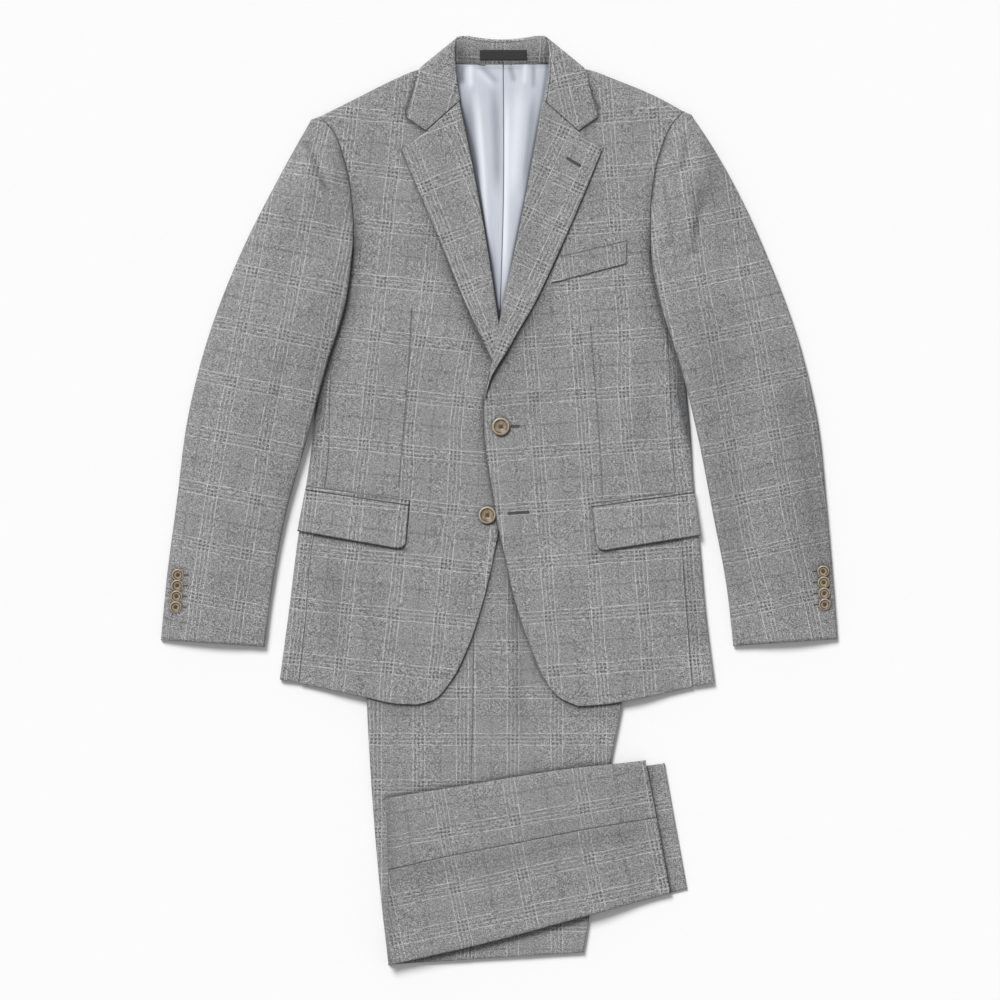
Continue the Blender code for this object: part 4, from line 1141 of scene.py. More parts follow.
def cut_front(side):
    sign = SIDES[side]
    roll = curve(ROLL_LINE[side])
    neck = [(NECK_X + sign * x, y) for x, y in FRONT_NECK]
    rolled = roll(np.array([0.08, 0.25, 0.5, 0.75, 1.0]))
    set_back = [(x + sign * SET_BACK * rise(y, 118, 45), y) for x, y in rolled]
    inner = curve(neck + set_back + FRONT_EDGE[side])
    shoulder = curve([neck[0], (NECK_X + sign * 88, 498)] + SHOULDER[side][1:])
    plan = through(framed(inner, side_line(side), shoulder, curve(HEM[side])), DART[side], DART_AT)
    # the dart: a shallow groove with a line of painted shade in it
    dart = dart_line(side), 0.8, 0.35, 0.95 if side == "right" else 0.75
    return piece(f"front_panel_{side}", plan, (96, 320), (TURNED, SOFTLY_SEWN, TURNED, TURNED),
                 [f"front_{side}"], wall=1.5, grain=f"front_{side}", wave=0.2, smooth=8,
                 seams=[dart] + front_shades(side), marks=[(DART_AT, mm) for mm in CLOSE],
                 rests_on=[f"back_panel_{side}"], follows=True)


for side in SIDES:
    print("front", side, "has", len(cut_front(side).data.vertices), "points")

# %% [markdown]
# ## Lapels
# A lapel is the top of the front, turned back over itself. It rolls rather than creases: the fold is
# wide and soft, and flattens only towards the outer edge. Its top edge meets the collar in the gorge
# seam, then runs free to the point. At the bottom its two edges run together, just above the button.


# %% Lapels
def cut_lapel(side):
    roll, edge = curve(ROLL_LINE[side]), curve(LAPEL_EDGE[side])
    notch = np.array(NOTCH[side], float)
    gorge = joined(curve([roll(0.0), notch]), curve([notch, edge(0.0)]), 0.62)
    top = lambda t: gorge(t) - (0, 0.5)
    plan = framed(roll, edge, top, curve([roll(1.0), edge(1.0)]))

    def foot(points, level):
        near_roll = np.exp(-(beside(points, roll)[0] / 4.5) ** 2)
        return level - mix(1.4, 3.2, near_roll)

    return piece(f"lapel_turned_{side}", plan, (26, 96), (fold(2.6, 9), TURNED, SEWN, RUNNING_OUT),
                 [f"lapel_{side}"], foot=foot, grain=f"lapel_{side}", wave=0.35, keep=3.2, follows=True,
                 rests_on=[f"front_panel_{side}"], held="folded")


for side in SIDES:
    print("lapel", side, [round(s * 1000) for s in cut_lapel(side).dimensions], "mm")

# %% [markdown]
# ## Collar
# The collar is one strip. Its two leaves lie on the fronts, and between them it falls behind the neck,
# so the strip wraps over both shoulders. Each station below gives the crease, the free edge and how far
# the strip has turned there; everything between the stations is interpolated, and each cross-section is
# tucked in, rolled over the crease, laid flat and turned under at the free edge.

# %% Collar stations
COLLAR_STATIONS = [
    # crease x, crease y, edge x, edge y, turn
    (-45.2, 460.3, -106.0, 441.0, 0), (-47.5, 474.0, -101.5, 458.0, 0), (-49.5, 490.0, -97.5, 474.0, 0),
    (-51.0, 510.0, -95.2, 484.0, 0), (-51.3, 519.0, -94.2, 489.6, 0), (-50.5, 527.0, -92.0, 494.7, 45),
    (-48.7, 532.0, -90.5, 497.8, 90), (-47.0, 533.6, -88.3, 497.2, 135), (-42.0, 534.3, -85.0, 494.0, 180),
    (-27.0, 532.8, -55.0, 488.0, 180), (-12.0, 531.0, -24.0, 486.0, 180), (3.5, 530.3, 3.5, 485.5, 180),
]
SPREAD = np.array([0, 0.12, 0.4, 0.62, 0.85, 1])  # shares of the way from crease to edge
LEAF, FALL, COLLAR_TUCK = 7.25, 0.75, 3.4  # mm: height on the fronts and behind the neck, and the tuck
LEAF_TURN = 13  # degrees that the grain of a leaf is turned


def collar_rows():
    """Each station as points (x, y) across the strip, its height, its tucked height and its turn."""
    rows = []
    for crease_x, crease_y, edge_x, edge_y, turn in COLLAR_STATIONS:
        crease, edge = np.array([crease_x, crease_y]), np.array([edge_x, edge_y])
        points = np.array([mix(crease, edge, f) for f in SPREAD])
        if crease_y < 465:
            notch = np.array(NOTCH["right"]) + (0, 0.3)
            points[:4] = [mix(crease, notch, min(f / 0.62, 1)) for f in SPREAD[:4]]
            points[4:] = [mix(notch, edge, f) for f in (0.6, 1)]
        turned = math.radians(turn)
        height = (LEAF + FALL) / 2 + (LEAF - FALL) / 2 * math.cos(turned)
        rows.append(np.concatenate([points.ravel(), [height, mix(5.3, 5.05, turn / 180)]]))
    far = []
    for row in rows[:-1][::-1]:
        mirrored = row.copy()
        mirrored[0:-2:2] = 2 * NECK_X - row[0:-2:2]
        far.append(mirrored)
    return np.array(rows + far)


def collar_strip():
    """The middle of the strip's wall as a function of s (-1 tucked, 0 crease, 1 edge) and v."""
    rows = collar_rows()
    run = run_along(rows[:, :13])
    run /= run[-1]
    fine = np.linspace(0, 1, 400)
    i = np.clip(np.searchsorted(run, fine, side="right") - 1, 0, len(run) - 2)
    gap = run[i + 1] - run[i]
    t = ((fine - run[i]) / gap)[:, None]
    dense = bent_between(rows, np.gradient(rows, run, axis=0), i, gap[:, None], t)
    at = lambda k, v: np.interp(v, fine, dense[:, k])

    def strip(s, v):
        across = np.stack([at(k, v) for k in range(12)], -1).reshape(*v.shape, 6, 2)
        height, tucked = at(12, v), at(13, v)
        share = np.clip(s, 0, 1)
        j = np.clip(np.searchsorted(SPREAD, share, side="right") - 1, 0, 4)
        f = ((share - SPREAD[j]) / (SPREAD[j + 1] - SPREAD[j]))[..., None]
        pick = lambda j: np.take_along_axis(across, j[..., None, None], -2)[..., 0, :]
        flat = mix(pick(j), pick(j + 1), f)
        outward = pick(0 * j + 2) - pick(0 * j)
        outward /= np.linalg.norm(outward, axis=-1)[..., None]
        angle = np.pi * np.clip(1 + s, 0, 1)
        bent = flat + outward * (COLLAR_TUCK * (1 - np.sin(angle)) * (s < 0))[..., None]
        z = np.where(s < 0, (height + tucked) / 2 - (height - tucked) / 2 * np.cos(angle), height)
        return np.concatenate([bent, z[..., None]], -1)

    return strip


strip = collar_strip()
print("the collar turns over", len(collar_rows()), "stations")


# %% Collar
def outer_face(s, v):
    """Which way the strip looks."""
    ds, dv = 0.004, 0.002
    along_s = strip(np.clip(s + ds, -1, 1), v) - strip(np.clip(s - ds, -1, 1), v)
    along_v = strip(s, np.clip(v + dv, 0, 1)) - strip(s, np.clip(v - dv, 0, 1))
    normal = np.cross(along_v, along_s)
    return normal / np.maximum(np.linalg.norm(normal, axis=-1), 1e-9)[..., None]


def cut_collar():
    width, length, half_wall = 52.0, 330.0, 0.75
    roll = [(-1 + i / 12, 1.0, 0.0) for i in range(12)] + [(0.0, 1.0, 0.0)]
    flat = [(s, 1.0, 0.0) for s in np.linspace(0.06, 0.94, 15)]
    lip = [(1 - inward / width, level, 0.0) for inward, level, _ in reversed(TURNED)]
    across = np.array(roll + flat + lip).T[:, :, None]
    along, high = stations(SEWN, SEWN, 130)
    v = inset(along.T, high, length)[None, :] + 0 * across[0]
    s = across[0] + 0 * v
    normal = outer_face(np.minimum(s, 0.97), v)
    level = np.minimum(across[1], along.T[2][None, :] * np.ones_like(across[0]))
    points = strip(s, v) + normal * (half_wall - 1.4 * (1 - level))[..., None]
    # painted shade at the sewn ends, on the visible part of the strip
    shade = along.T[3][None, :] * (s > 0) * (s < 0.6)
    points[..., 2] += creases(points[..., :2], [(-75, 500, -60, 450, 12, 0.6), (82, 500, 66, 450, 12, 0.6)])
    points[..., 2] = np.maximum(points[..., 2] + lie(points[..., :2]), 0.0)
    # seen from above each leaf has its grain a little turned, and behind the neck it is straight
    x, y = points[..., 0] - NECK_X, points[..., 1] - 497
    turn = np.radians(LEAF_TURN) * np.clip((np.abs(x) - 30) / 30, 0, 1) * np.sign(x)
    cut = np.stack([x * np.cos(turn) + y * np.sin(turn) + 17, y * np.cos(turn) - x * np.sin(turn)], -1)
    made = sew("collar_turned", points, cut, shade, outwards=(0, 1, 0.1))
    return declare(made, cloth, "suit_cloth", ["collar"], points, ["front_panel_right"], "folded")


print("the collar is", [round(s * 1000) for s in cut_collar().dimensions], "mm")


# %% [markdown]
# ## Stand and label
# The stand is the part of the collar that stands round the neck. It leans back behind the label, so it
# lies in the collar's shade, which is painted on it, deepest along its lower seam and at its ends.


# %% Stand and label
STAND_TOP = [(-51.0, 530.0), (-42, 532.2), (-27, 531.0), (3.5, 528.4), (34, 531.0), (49, 532.2),
             (58.0, 530.0)]
STAND_BOTTOM = [(-50.5, 503.2), (-28, 500.4), (5, 499.2), (35, 500.4), (57.5, 503.2)]


def cut_stand():
    # the centre seam: a groove with painted shade in it
    centre_seam = curve([(3.5, 526), (3.5, 503)]), 0.6, 0.25, 0.6
    # painted shade, less of it along the top edge, which faces the light
    shades = [shadow(STAND_BOTTOM, 18.0, 0.75), shadow(STAND_TOP, 5.0, -0.3)]
    shades += [shadow([(x, 532), (x, 502)], half, 0.6) for x, half in ((-51.0, 11.0), (58.0, 5.0))]
    return piece("stand_inside", ruled(curve(STAND_TOP), curve(STAND_BOTTOM)), (24, 110),
                 (FLAT, SEWN, FLAT, FLAT), ["collar_stand"], wall=0.8, seams=[centre_seam] + shades,
                 wave=0.2, keep=5.0, rests_on=["collar_turned"])


def cut_label():
    plan = ruled(curve([(-22, 518.5), (-22, 507)]), curve([(32, 518.5), (32, 507)]))
    return piece("label_tape", plan, (30, 8), (fold(0.3, 5),) * 4, ["label"], wall=0.6, material=label_tape,
                 slot="label", wave=0.1, rests_on=["stand_inside"], skin=0.25)


cut_stand()
cut_label()
print("the label stays bare")

# %% [markdown]
# ## Sleeves
# A sleeve is a flattened tube: the top sleeve folds down along both sides, and the under sleeve closes
# it below. Its head is cut longer than the armhole it is sewn into and eased in, which makes the small
# puckers along the seam and the soft hollow that runs down from the shoulder. Its folds are broad and
# low, so each has a zone of painted shade of its own beside the relief.

# %% Sleeves
SLEEVE_FOLDS = {
    "left": [(217, 418, 209, 384, 4.0, -0.7), (209, 386, 186, 369, 3.6, -0.6), (210, 384, 224, 312, 7.0, 1.3),
             (233, 372, 226, 300, 6.0, -1.0), (188, 352, 190, 292, 9.0, 1.6), (214, 287, 230, 287, 3.5, -0.6),
             (240, 400, 262, 330, 11, 0.9), (255, 250, 272, 150, 16, 0.8), (236, 190, 262, 90, 12, -0.6),
             (300, 120, 330, 60, 14, 0.6), (290, 0, 330, 40, 12, -0.5), (300, -60, 340, -100, 16, 0.4)],
    "right": [(-220, 412, -192, 348, 4.5, -1.1), (-206, 410, -184, 366, 6.0, 0.8),
              (-228, 392, -214, 330, 7.0, 0.9), (-198, 300, -200, 262, 8.0, 0.6),
              (-238, 345, -238, 300, 8.0, -0.6), (-250, 246, -268, 146, 16, 0.8),
              (-232, 186, -258, 86, 12, -0.6), (-296, 116, -326, 56, 14, 0.6),
              (-286, -4, -326, 36, 12, -0.5), (-296, -64, -336, -104, 16, 0.4)],
}
SLEEVE_ZONES = {
    # points down the zone, half width and painted shade
    "left": [([(236, 368), (231, 341), (227, 318), (222, 295), (214, 276)], 4.6, 0.5),
             ([(237, 430), (244, 390), (236, 325)], 13.0, 0.42),
             ([(218, 422), (215, 404), (209, 386), (199, 375), (184, 369)], 3.6, 0.5),
             ([(188, 371), (192, 341)], 2.0, 0.4), ([(212, 288), (231, 287)], 2.6, 0.4),
             ([(199, 430), (184, 398), (177, 372), (174, 330)], 4.0, 0.6),
             ([(228, 300), (248, 200), (262, 60), (272, -150)], 22.0, 0.27),
             ([(335, 200), (358, 60), (368, -150)], 34.0, 0.3)],
    "right": [([(-222, 418), (-208.5, 380), (-201, 363), (-190, 344)], 3.8, 0.6),
              ([(-240, 350), (-236, 290)], 10.0, 0.25),
              ([(-192, 428), (-179, 395), (-170, 352), (-167, 300)], 4.5, 0.6),
              ([(-205, 270), (-196, 262)], 3.0, 0.3),
              ([(-190, 240), (-214, 120), (-238, 20), (-262, -120)], 14.0, 0.16)],
}
SEWN_SHARE = 6 / 22  # of the sleeve's inner line is sewn into the armhole
SLEEVE_CROWN = 9.0  # mm that the middle of a sleeve stands above its folds


def sleeve_head(y):
    """1 along the armhole, where the sleeve is sewn to the front, and 0 below the underarm."""
    return rise(y, 298, 26)


def cuff_row(side):
    """The places of the four buttons of a cuff."""
    return curve(CUFF_BUTTONS[side])(np.linspace(0, 1, 4))


def swelling(u, v):
    """The round of the arm, flatter at the cuff, and the puckers of the eased head."""
    crown = SLEEVE_CROWN * np.sin(np.pi * u) * rise(v, 0.0, 0.16) * (1 - 0.55 * rise(v, 0.75, 0.25))
    return crown + 0.12 * np.sin(v * 520) * np.exp(-((1 - u) * 60 / 5) ** 2) * (v < SEWN_SHARE)


def cut_sleeve(side):
    line = side_line(side)
    free = curve([tuple(line(np.array(SEWN_SHARE)))] + SLEEVE_INNER[side])
    armhole = lambda t: line(t * SEWN_SHARE)
    inner = joined(armhole, free, SEWN_SHARE)
    plan = ruled(curve(SLEEVE_OUTER[side]), lambda t: inner(t) + (SIDES[side] * 0.3, 0))
    under = f"sleeve_{side}_under"

    def foot(points, level):
        low = heights(points, [under]) - 0.6
        head = sleeve_head(points[..., 1]) * (beside(points, armhole)[0] < 12)
        return mix(np.minimum(low, level - 2.0), level - 1.2, head)

    # painted shade along the armhole seam, in each zone and round each cuff button
    seams = [(lambda t: armhole(0.7 * t), 1.3, 0.0, 0.55, 0.25), (armhole, 1.1, 0.0, 0.2)]
    seams += [shadow(points, half, dark, 0.3) for points, half, dark in SLEEVE_ZONES[side]]
    seams += [shade_round(x, y, 7.0, 2.2, 0.6) for x, y in cuff_row(side)]
    made = piece(f"top_sleeve_{side}", plan, (60, 190), (fold(3.4, 11), fold(2.4, 9), SEWN, TURNED),
                 [f"sleeve_{side}_top"], foot=foot, grain=f"sleeve_{side}", folds=SLEEVE_FOLDS[side] * 2,
                 wave=0.9, keep=6.5, smooth=6, seams=seams, swell=swelling, held="folded",
                 rests_on=[f"side_panel_{side}"])
    lower = piece(f"under_sleeve_{side}", plan, (24, 90), (fold(2.2, 7), fold(2.2, 7), TURNED, TURNED),
                  [under], beneath=True, foot=lambda points, level: level + 1.9, keep=4.0, wave=0.0,
                  grain=f"sleeve_{side}", rests_on=["studio_board"])
    return made, lower


for side in SIDES:
    print("sleeve", side, [round(s * 1000) for s in cut_sleeve(side)[0].dimensions], "mm")

# %% [markdown]
# ## Pockets
# A jetted pocket is a slot bound with a narrow strip of cloth, and the flap hangs out of it. The flap
# stands a little off the front at its lower edge, so it throws a soft shadow, deepened by a painted
# shadow on the front, and its front corner is rounded. The breast pocket has a welt instead: a slanted
# band, sewn down at both ends.


# %% Pockets
def cut_pocket(side):
    upper, lower, flap_end = (curve(POCKETS[side][key]) for key in ("upper", "lower", "flap"))
    slot = lambda u, v: mix(upper(u), lower(u), v[..., None])
    jet = piece(f"jet_bound_{side}", slot, (30, 6),
                (CRISP, CRISP, CRISP, SEWN), [f"jet_{side}"], wall=0.9, follows=True,
                grain=f"front_{side}", wave=0.1, keep=1.4, rests_on=[f"front_panel_{side}"],
                # a line of painted shade along the jet's lower edge, under the flap
                seams=[(lower, 0.8, 0.0, 0.6)])

    def plan(u, v):
        corner = np.clip((u - 0.9) / 0.1, 0, 1)
        lifted = flap_end(u) + np.stack([0 * u, 12.0 * (1 - np.sqrt(1 - corner**2))], -1)
        return mix(lower(u) + (0, -0.3), lifted, v[..., None])

    hang = lambda u, v: 1.3 * ease(v) - 0.25 * np.exp(-(v / 0.06) ** 2)
    flap = piece(f"flap_turned_{side}", plan, (44, 14), (TURNED, CRISP, SEWN, CRISP), [f"flap_{side}"],
                 wall=1.2, grain=f"front_{side}", swell=hang, wave=0.5, marks=[(0.985, 0.0), (0.995, 0.0)],
                 rests_on=[f"front_panel_{side}"], follows=True)
    return jet, flap


def cut_breast_welt():
    upper, lower = curve(BREAST_WELT["upper"]), curve(BREAST_WELT["lower"])
    return piece("breast_welt_turned", ruled(upper, lower), (16, 40), (CRISP, SOFTLY_SEWN, SOFTLY_SEWN, SEWN),
                 ["breast_welt"], wall=0.9, grain="breast_welt", wave=0.15, follows=True,
                 rests_on=["front_panel_left"])


for side in SIDES:
    cut_pocket(side)
cut_breast_welt()
print("two flap pockets and a welt")

# %% [markdown]
# ## Trousers
# The trousers are pressed with a crease down the front and back of each leg and folded along the seat,
# so four layers lie on each other. Two panels show, joined at the side seam. Below the jacket the legs
# are folded up across them: the upper leg shows its whole width, the other one only a strip of its hem.
# Each rim is a round fold with painted shade on its lower half, so the layers beneath show as a darker
# line along it.

# %% Trousers
TROUSER_SHELF = 3.3  # mm: the upper leg's creased edge comes down to this height
WAISTBAND = 38.0 / 721  # share of the trousers' length
trousers_floor = lambda y: 1.8 * rise(y, -252, 32)


def below(line):
    return lambda t: line(mix(WAISTBAND + 0.0006, 1.0, t))


def cut_trousers():
    right, left, seam = (below(curve(points)) for points in (*TROUSERS_EDGE.values(), TROUSERS_SEAM))
    shelf = lambda points, level: trousers_floor(points[..., 1]) + TROUSER_SHELF
    # painted shadows: of the folded legs' edges, of the fronts and hems, and of a fold down the middle
    shades = shade_of(LEG_TOP_EDGE, 2.2, 0.7) + shade_of(LEG_BOTTOM_EDGE, 3.0, 0.5)
    for side in SIDES:
        shades += shade_of(FRONT_EDGE[side][3:] + HEM[side][1:3], 2.8, 0.62)
    shades += [shadow([(12, -50), (17, -120), (25, -290)], 8.0, 0.36, 0.25)]
    shared = {"foot": shelf, "keep": 5.5, "held": "folded", "wave": 0.5, "rests_on": ["trousers_under"],
              "seams": shades}
    piece("trousers_front_panel", ruled(right, seam), (50, 210), (fold(2.0, 9), SOFTLY_SEWN, FLAT, TURNED),
          ["trousers_front"], grain="trousers_front",
          folds=[(-60, -200, -90, -330, 14, 0.5), (-120, -240, -110, -330, 9, -0.4)], **shared)
    piece("trousers_back_panel", ruled(seam, left), (64, 210), (SOFTLY_SEWN, fold(2.0, 9), FLAT, TURNED),
          ["trousers_back"], grain="trousers_back",
          folds=[(-10, 0, 0, -150, 7, 0.9), (2, -60, 8, -210, 6, -0.6), (50, -210, 80, -330, 16, 0.6)],
          **shared)
    piece("trousers_under", ruled(right, left), (30, 90), (fold(1.8, 9), fold(1.8, 9), FLAT, TURNED),
          ["trousers_layers"], beneath=True, foot=lambda points, level: shelf(points, level) - 0.2,
          grain="trousers_back", wave=0.0, held="folded", rests_on=["back_panel_right", "back_panel_left"])
    band = lambda line: (lambda t: curve(line)(t * WAISTBAND))
    piece("trousers_band", ruled(band(TROUSERS_EDGE["right"]), band(TROUSERS_EDGE["left"])), (20, 8),
          (fold(1.5, 7),) * 4, ["waistband"], wall=5.0, wave=0.2, held="folded",
          rests_on=["back_panel_right"])


cut_trousers()
print("trousers inside the jacket")


# %% Folded legs
def legs_floor(points):
    edge = x_at(TROUSERS_EDGE["left"])
    return 6.1 * (1 - rise(points[..., 0] - edge(points[..., 1]), 2, 66))


def cut_folded_legs():
    top, bottom, seam = (curve(p) for p in (LEG_TOP_EDGE, LEG_BOTTOM_EDGE, LEG_SEAM))
    # painted shade along the seam and below it, and at the legs' left end
    seam_shades = [(seam, 60.0, 0.0, 0.1), (lambda t: seam(t) - (0, 12), 13.0, 0.0, 0.16, 0.1),
                   shadow([(-129, -340), (-129, -532)], 11.0, 0.38)]
    rim, ends = fold(1.7, 9), (fold(1.7, 7), fold(1.3, 7))
    shared = {"foot": lambda points, level: np.minimum(legs_floor(points) + 3.9, level - 1.8), "keep": 5.5,
              "held": "folded", "wave": 0.6, "rests_on": ["second_leg_folded"], "seams": seam_shades}
    piece("folded_leg_upper_panel", ruled(top, seam), (30, 110), (rim, SOFTLY_SEWN, *ends),
          ["folded_leg_front"], grain="folded_leg_front", folds=[(-90, -350, 20, -370, 12, 0.5)], **shared)
    piece("folded_leg_lower_panel", ruled(seam, bottom), (34, 110), (SOFTLY_SEWN, rim, *ends),
          ["folded_leg_back"], nodes=["folded_leg_back", "folded_leg_layers"], grain="folded_leg_back",
          folds=[(0, -470, 120, -420, 12, 0.5), (90, -440, 180, -400, 8, -0.4)], **shared)
    strip_plan = ruled(curve(SECOND_LEG_TOP_EDGE), curve(SECOND_LEG_BOTTOM_EDGE))
    sides = fold(1.4, 9), fold(1.4, 9), fold(1.4, 7), fold(1.3, 7)
    end = [LEG_TOP_EDGE[-1], LEG_SEAM[-1], LEG_BOTTOM_EDGE[-1]]
    shared = {"grain": "second_leg", "keep": 3.0, "held": "folded",
              "rests_on": ["trousers_front_panel", "trousers_back_panel"]}
    # painted shadow of the upper leg's end and bottom edge on the strip
    piece("second_leg_folded", strip_plan, (46, 110), sides, ["second_leg"], wave=0.4,
          foot=lambda points, level: level - 1.55,
          seams=shade_of(end, 2.6, 0.6) + shade_of(LEG_BOTTOM_EDGE, 2.4, 0.5), **shared)
    piece("second_leg_under", strip_plan, (30, 50), sides, ["second_leg"], wave=0.0, beneath=True,
          foot=lambda points, level: level + 1.45, **shared)


cut_folded_legs()
print("the legs are folded up")

# %% [markdown]
# ## Buttons
# Each button is turned on a lathe, so its profile is spun: a round rim, a sunk middle, and four holes
# drilled through. Two bars of thread cross in the middle and hold it on. A cuff button overlaps the next
# one a little, so each of them is tilted.

# %% Buttons
PROFILE = [
    # radius and height as shares
    (0.0, 0.0), (0.60, 0.0), (0.80, 0.06), (0.93, 0.24), (0.985, 0.42), (1.0, 0.55), (0.985, 0.72),
    (0.94, 0.88), (0.88, 0.97), (0.82, 1.0), (0.76, 0.97), (0.72, 0.88), (0.69, 0.74), (0.65, 0.66),
    (0.52, 0.62), (0.44, 0.62), (0.41, 0.56), (0.36, 0.52), (0.0, 0.50),
]
HOLE_RADIUS, HOLE_OUT = 0.085, 0.2  # shares of the button's radius
CUFF_SIZE = 6.9, 2.3, 9.0  # radius and thickness in mm, and tilt in degrees


def spun_button(radius, thickness, steps=56):
    bm = bmesh.new()
    verts = [bm.verts.new((r * radius, 0, z * thickness)) for r, z in PROFILE]
    edges = [bm.edges.new(pair) for pair in zip(verts, verts[1:])]
    bmesh.ops.spin(bm, geom=verts + edges, axis=(0, 0, 1), cent=(0, 0, 0), angle=math.tau, steps=steps,
                   use_merge=True)
    bmesh.ops.remove_doubles(bm, verts=bm.verts[:], dist=1e-4)
    bmesh.ops.recalc_face_normals(bm, faces=bm.faces[:])
    return bm


def drill(bm, radius, thickness):
    """Cuts the four holes with a boolean, and gives back the finished mesh."""
    bits = bmesh.new()
    for i in range(4):
        angle, out = math.tau * (i + 0.5) / 4, HOLE_OUT * radius
        bit = bmesh.ops.create_cone(bits, cap_ends=True, segments=14, radius1=HOLE_RADIUS * radius,
                                    radius2=HOLE_RADIUS * radius, depth=4 * thickness)
        bmesh.ops.translate(bits, verts=bit["verts"], vec=(out * math.cos(angle), out * math.sin(angle), 0))
    blank, drills = as_object("blank", bm), as_object("drills", bits)
    cut = blank.modifiers.new("holes", "BOOLEAN")
    cut.operation, cut.object, cut.solver = "DIFFERENCE", drills, "EXACT"
    done = bpy.data.meshes.new_from_object(blank.evaluated_get(bpy.context.evaluated_depsgraph_get()))
    for tool in (blank, drills):
        bpy.data.meshes.remove(tool.data)
    return done


def turned_map(mesh, radius):
    """A UV map with the distance from the middle as u and the way round as v."""
    layer = mesh.uv_layers.new(name="turned")
    for loop in mesh.loops:
        x, y, _ = mesh.vertices[loop.vertex_index].co
        layer.data[loop.index].uv = math.hypot(x, y) / radius, math.atan2(y, x) / math.tau


def place_hard(name, mesh, x, y, z, turn, material, nodes=()):
    """Puts a hard piece in its place by moving its mesh."""
    tilt = Vector((0, 0, 1)).rotation_difference(Vector((0, -math.sin(turn), math.cos(turn))))
    bm = bmesh.new()
    bm.from_mesh(mesh)
    bpy.data.meshes.remove(mesh)
    bmesh.ops.rotate(bm, verts=bm.verts[:], cent=(0, 0, 0), matrix=tilt.to_matrix())
    bmesh.ops.translate(bm, verts=bm.verts[:], vec=(x, y, z))
    bmesh.ops.scale(bm, verts=bm.verts[:], vec=(MM, MM, MM))
    made = as_object(name, bm)
    made.data.shade_smooth()
    made.data.set_sharp_from_angle(angle=math.radians(45))
    return join_suit(made, material, "horn", nodes)


def thread_bars(radius, top):
    """Two rounded bars of thread from hole to hole."""
    bm = bmesh.new()
    for angle in (math.radians(45), math.radians(135)):
        for offset in (-0.055, 0.0, 0.055):
            grown = bmesh.ops.create_uvsphere(bm, u_segments=10, v_segments=8, radius=1.0)["verts"]
            bmesh.ops.scale(bm, verts=grown, vec=(0.25 * radius, 0.035 * radius, 0.05 * radius))
            bmesh.ops.translate(bm, verts=grown, vec=(0, offset * radius, 0))
            turn = Vector((1, 0, 0)).rotation_difference(Vector((math.cos(angle), math.sin(angle), 0)))
            bmesh.ops.rotate(bm, verts=grown, cent=(0, 0, 0), matrix=turn.to_matrix())
    bmesh.ops.translate(bm, verts=bm.verts[:], vec=(0, 0, top))
    mesh = bpy.data.meshes.new("thread")
    bm.to_mesh(mesh)
    bm.free()
    return mesh


def sew_on(name, node, x, y, radius, thickness, tilt, material):
    button = drill(spun_button(radius, thickness), radius, thickness)
    turned_map(button, radius)
    tilt = math.radians(tilt)
    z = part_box(node)[0][2] / MM + radius * math.sin(tilt) + float(lie(np.array([[x, y]]))[0])
    place_hard(name, button, x, y, z, tilt, material, [node])
    place_hard(f"{name}_thread", thread_bars(radius, 0.55 * thickness), x, y, z, tilt, button_thread)


for node, (x, y, radius, thickness) in BUTTONS.items():
    sew_on(node.replace("button_front", "front_button"), node, x, y, radius, thickness, 0.0, front_horn)
for side in SIDES:
    for i, (x, y) in enumerate(cuff_row(side), 1):
        sew_on(f"sleeve_button_{side}_{i}", f"cuff_button_{side}_{i}", x, y, *CUFF_SIZE, cuff_horn)
print("ten buttons")

# %% [markdown]
# ## Buttonholes
# A buttonhole is a slit whose two lips are whipped with silk twist, close stitches side by side, ended
# by a bar tack or a round eye. At this size the stitches are ribs on two low rounded lips, with painted
# shade for the dark slit between them. The holes lie on the dressed cloth, whose height is found with a
# ray as before.

# %% Buttonholes
BUTTONHOLES = {
    "buttonhole_top": ((13.0, 86.2), (24.2, 86.3), "front_panel_left"),
    "buttonhole_bottom": ((9.8, -13.8), (35.3, -12.1), "front_panel_left"),
    "buttonhole_lapel": ((77.0, 394.6), (94.1, 384.3), "lapel_turned_left"),
}
WHIP_COLUMNS, WHIP_ROWS, STITCH = 17, 5, 0.7  # grid lines across, lines to a mm along, mm to a stitch


def surface_now(name):
    """The dressed surface of a piece already made."""
    made = bpy.data.objects[name].evaluated_get(bpy.context.evaluated_depsgraph_get())
    mesh = bmesh.new()
    mesh.from_mesh(made.to_mesh())
    tree = BVHTree.FromBMesh(mesh)
    mesh.free()
    return tree


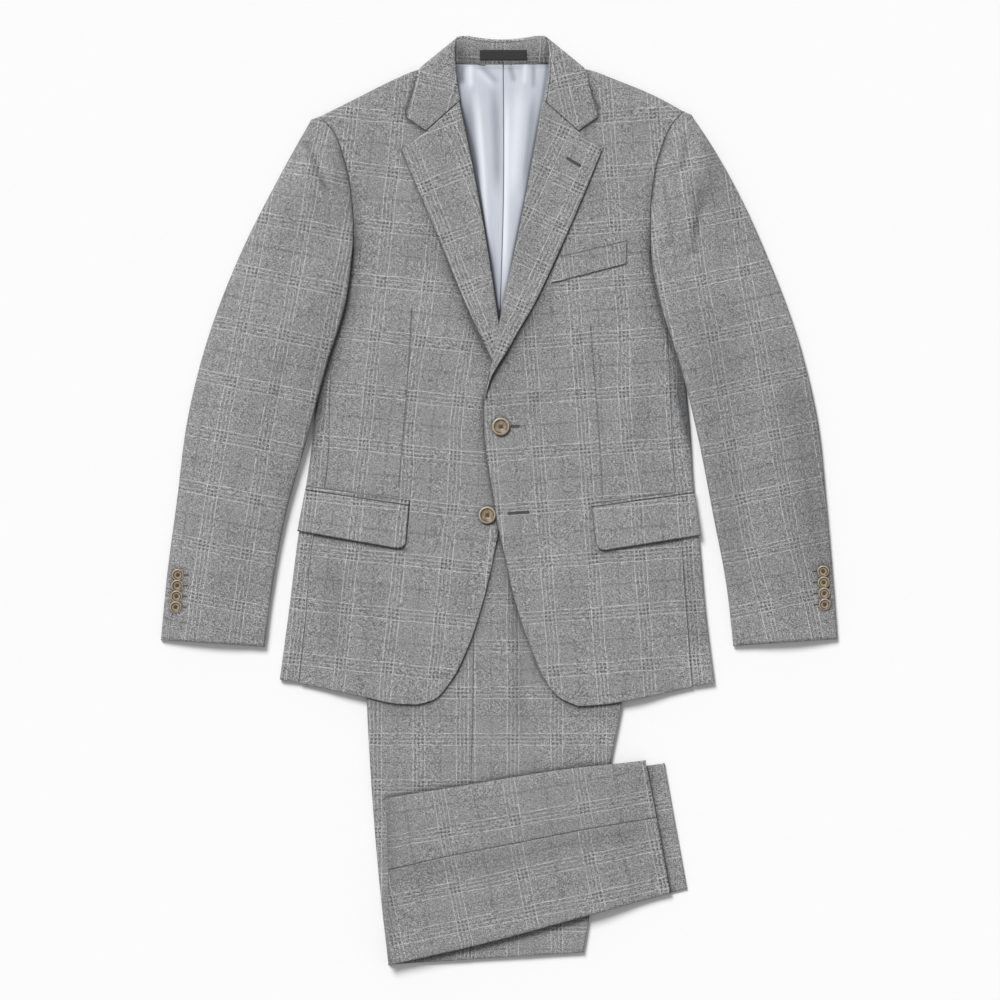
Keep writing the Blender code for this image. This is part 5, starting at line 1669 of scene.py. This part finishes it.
def whip(name, start, end, on, width=4.0, height=0.5, eye=0.0):
    """A whipped slit from start to end, with a round eye of this radius at its start."""
    a, b = np.array(start), np.array(end)
    length = float(np.linalg.norm(b - a))
    way = (b - a) / length
    side_way = np.array([-way[1], way[0]])
    tree = surface_now(on)
    across, along = np.linspace(-1, 1, WHIP_COLUMNS), np.linspace(0, 1, int(length * WHIP_ROWS) + 1)
    points = np.zeros((len(across), len(along), 3))
    for i, share in enumerate(across):
        lips = abs(math.sin(math.pi * share)) ** 0.7 if abs(share) < 1 else 0.0
        for j, t in enumerate(along):
            past = max(0.0, abs(2 * t - 1) * length / 2 - (length - width) / 2)  # into the rounded end
            end_round = math.sqrt(max(0.0, 1 - (2 * past / width) ** 2))
            half = width / 2 * max(end_round, 0.15)
            half = max(half, math.sqrt(max(0.0, eye**2 - (t * length - eye) ** 2)))
            x, y = a + way * t * length + side_way * share * half
            hit = tree.ray_cast(Vector((x * MM, y * MM, 0.1)), Vector((0, 0, -1)))[0]
            rib = 0.85 + 0.15 * math.sin(t * length * math.tau / STITCH)
            edge = min(1.0, 6 * (1 - abs(share))) * end_round
            points[i, j] = x, y, hit.z / MM - 0.12 + (0.22 + height * rib * lips) * edge
    # painted shade down the middle, where the slit is
    slit = np.exp(-(across / 0.2) ** 2)[:, None] + np.zeros(points.shape[:2])
    return join_suit(sew(name, points, points[..., :2], slit, 0.2), silk_twist, "suit_cloth")


for name, (start, end, on) in BUTTONHOLES.items():
    whip(name, start, end, on, eye=2.5 if name == "buttonhole_bottom" else 0.0)
for side, sign in SIDES.items():
    for i, (x, y) in enumerate(cuff_row(side), 1):
        whip(f"cuff_buttonhole_{side}_{i}", (x - sign * 5.5, y), (x - sign * 13.0, y - 0.4),
             f"top_sleeve_{side}", 1.7, 0.35)
print(len(BUTTONHOLES) + 8, "buttonholes")

# %% Sizes
boxes = {"cad": cad_box, "new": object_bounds()}
{name: [list(corner) for corner in box] for name, box in boxes.items()}
print("the dressed suit is", [round((b - a) * 1000, 1) for a, b in zip(*boxes["new"])], "mm")
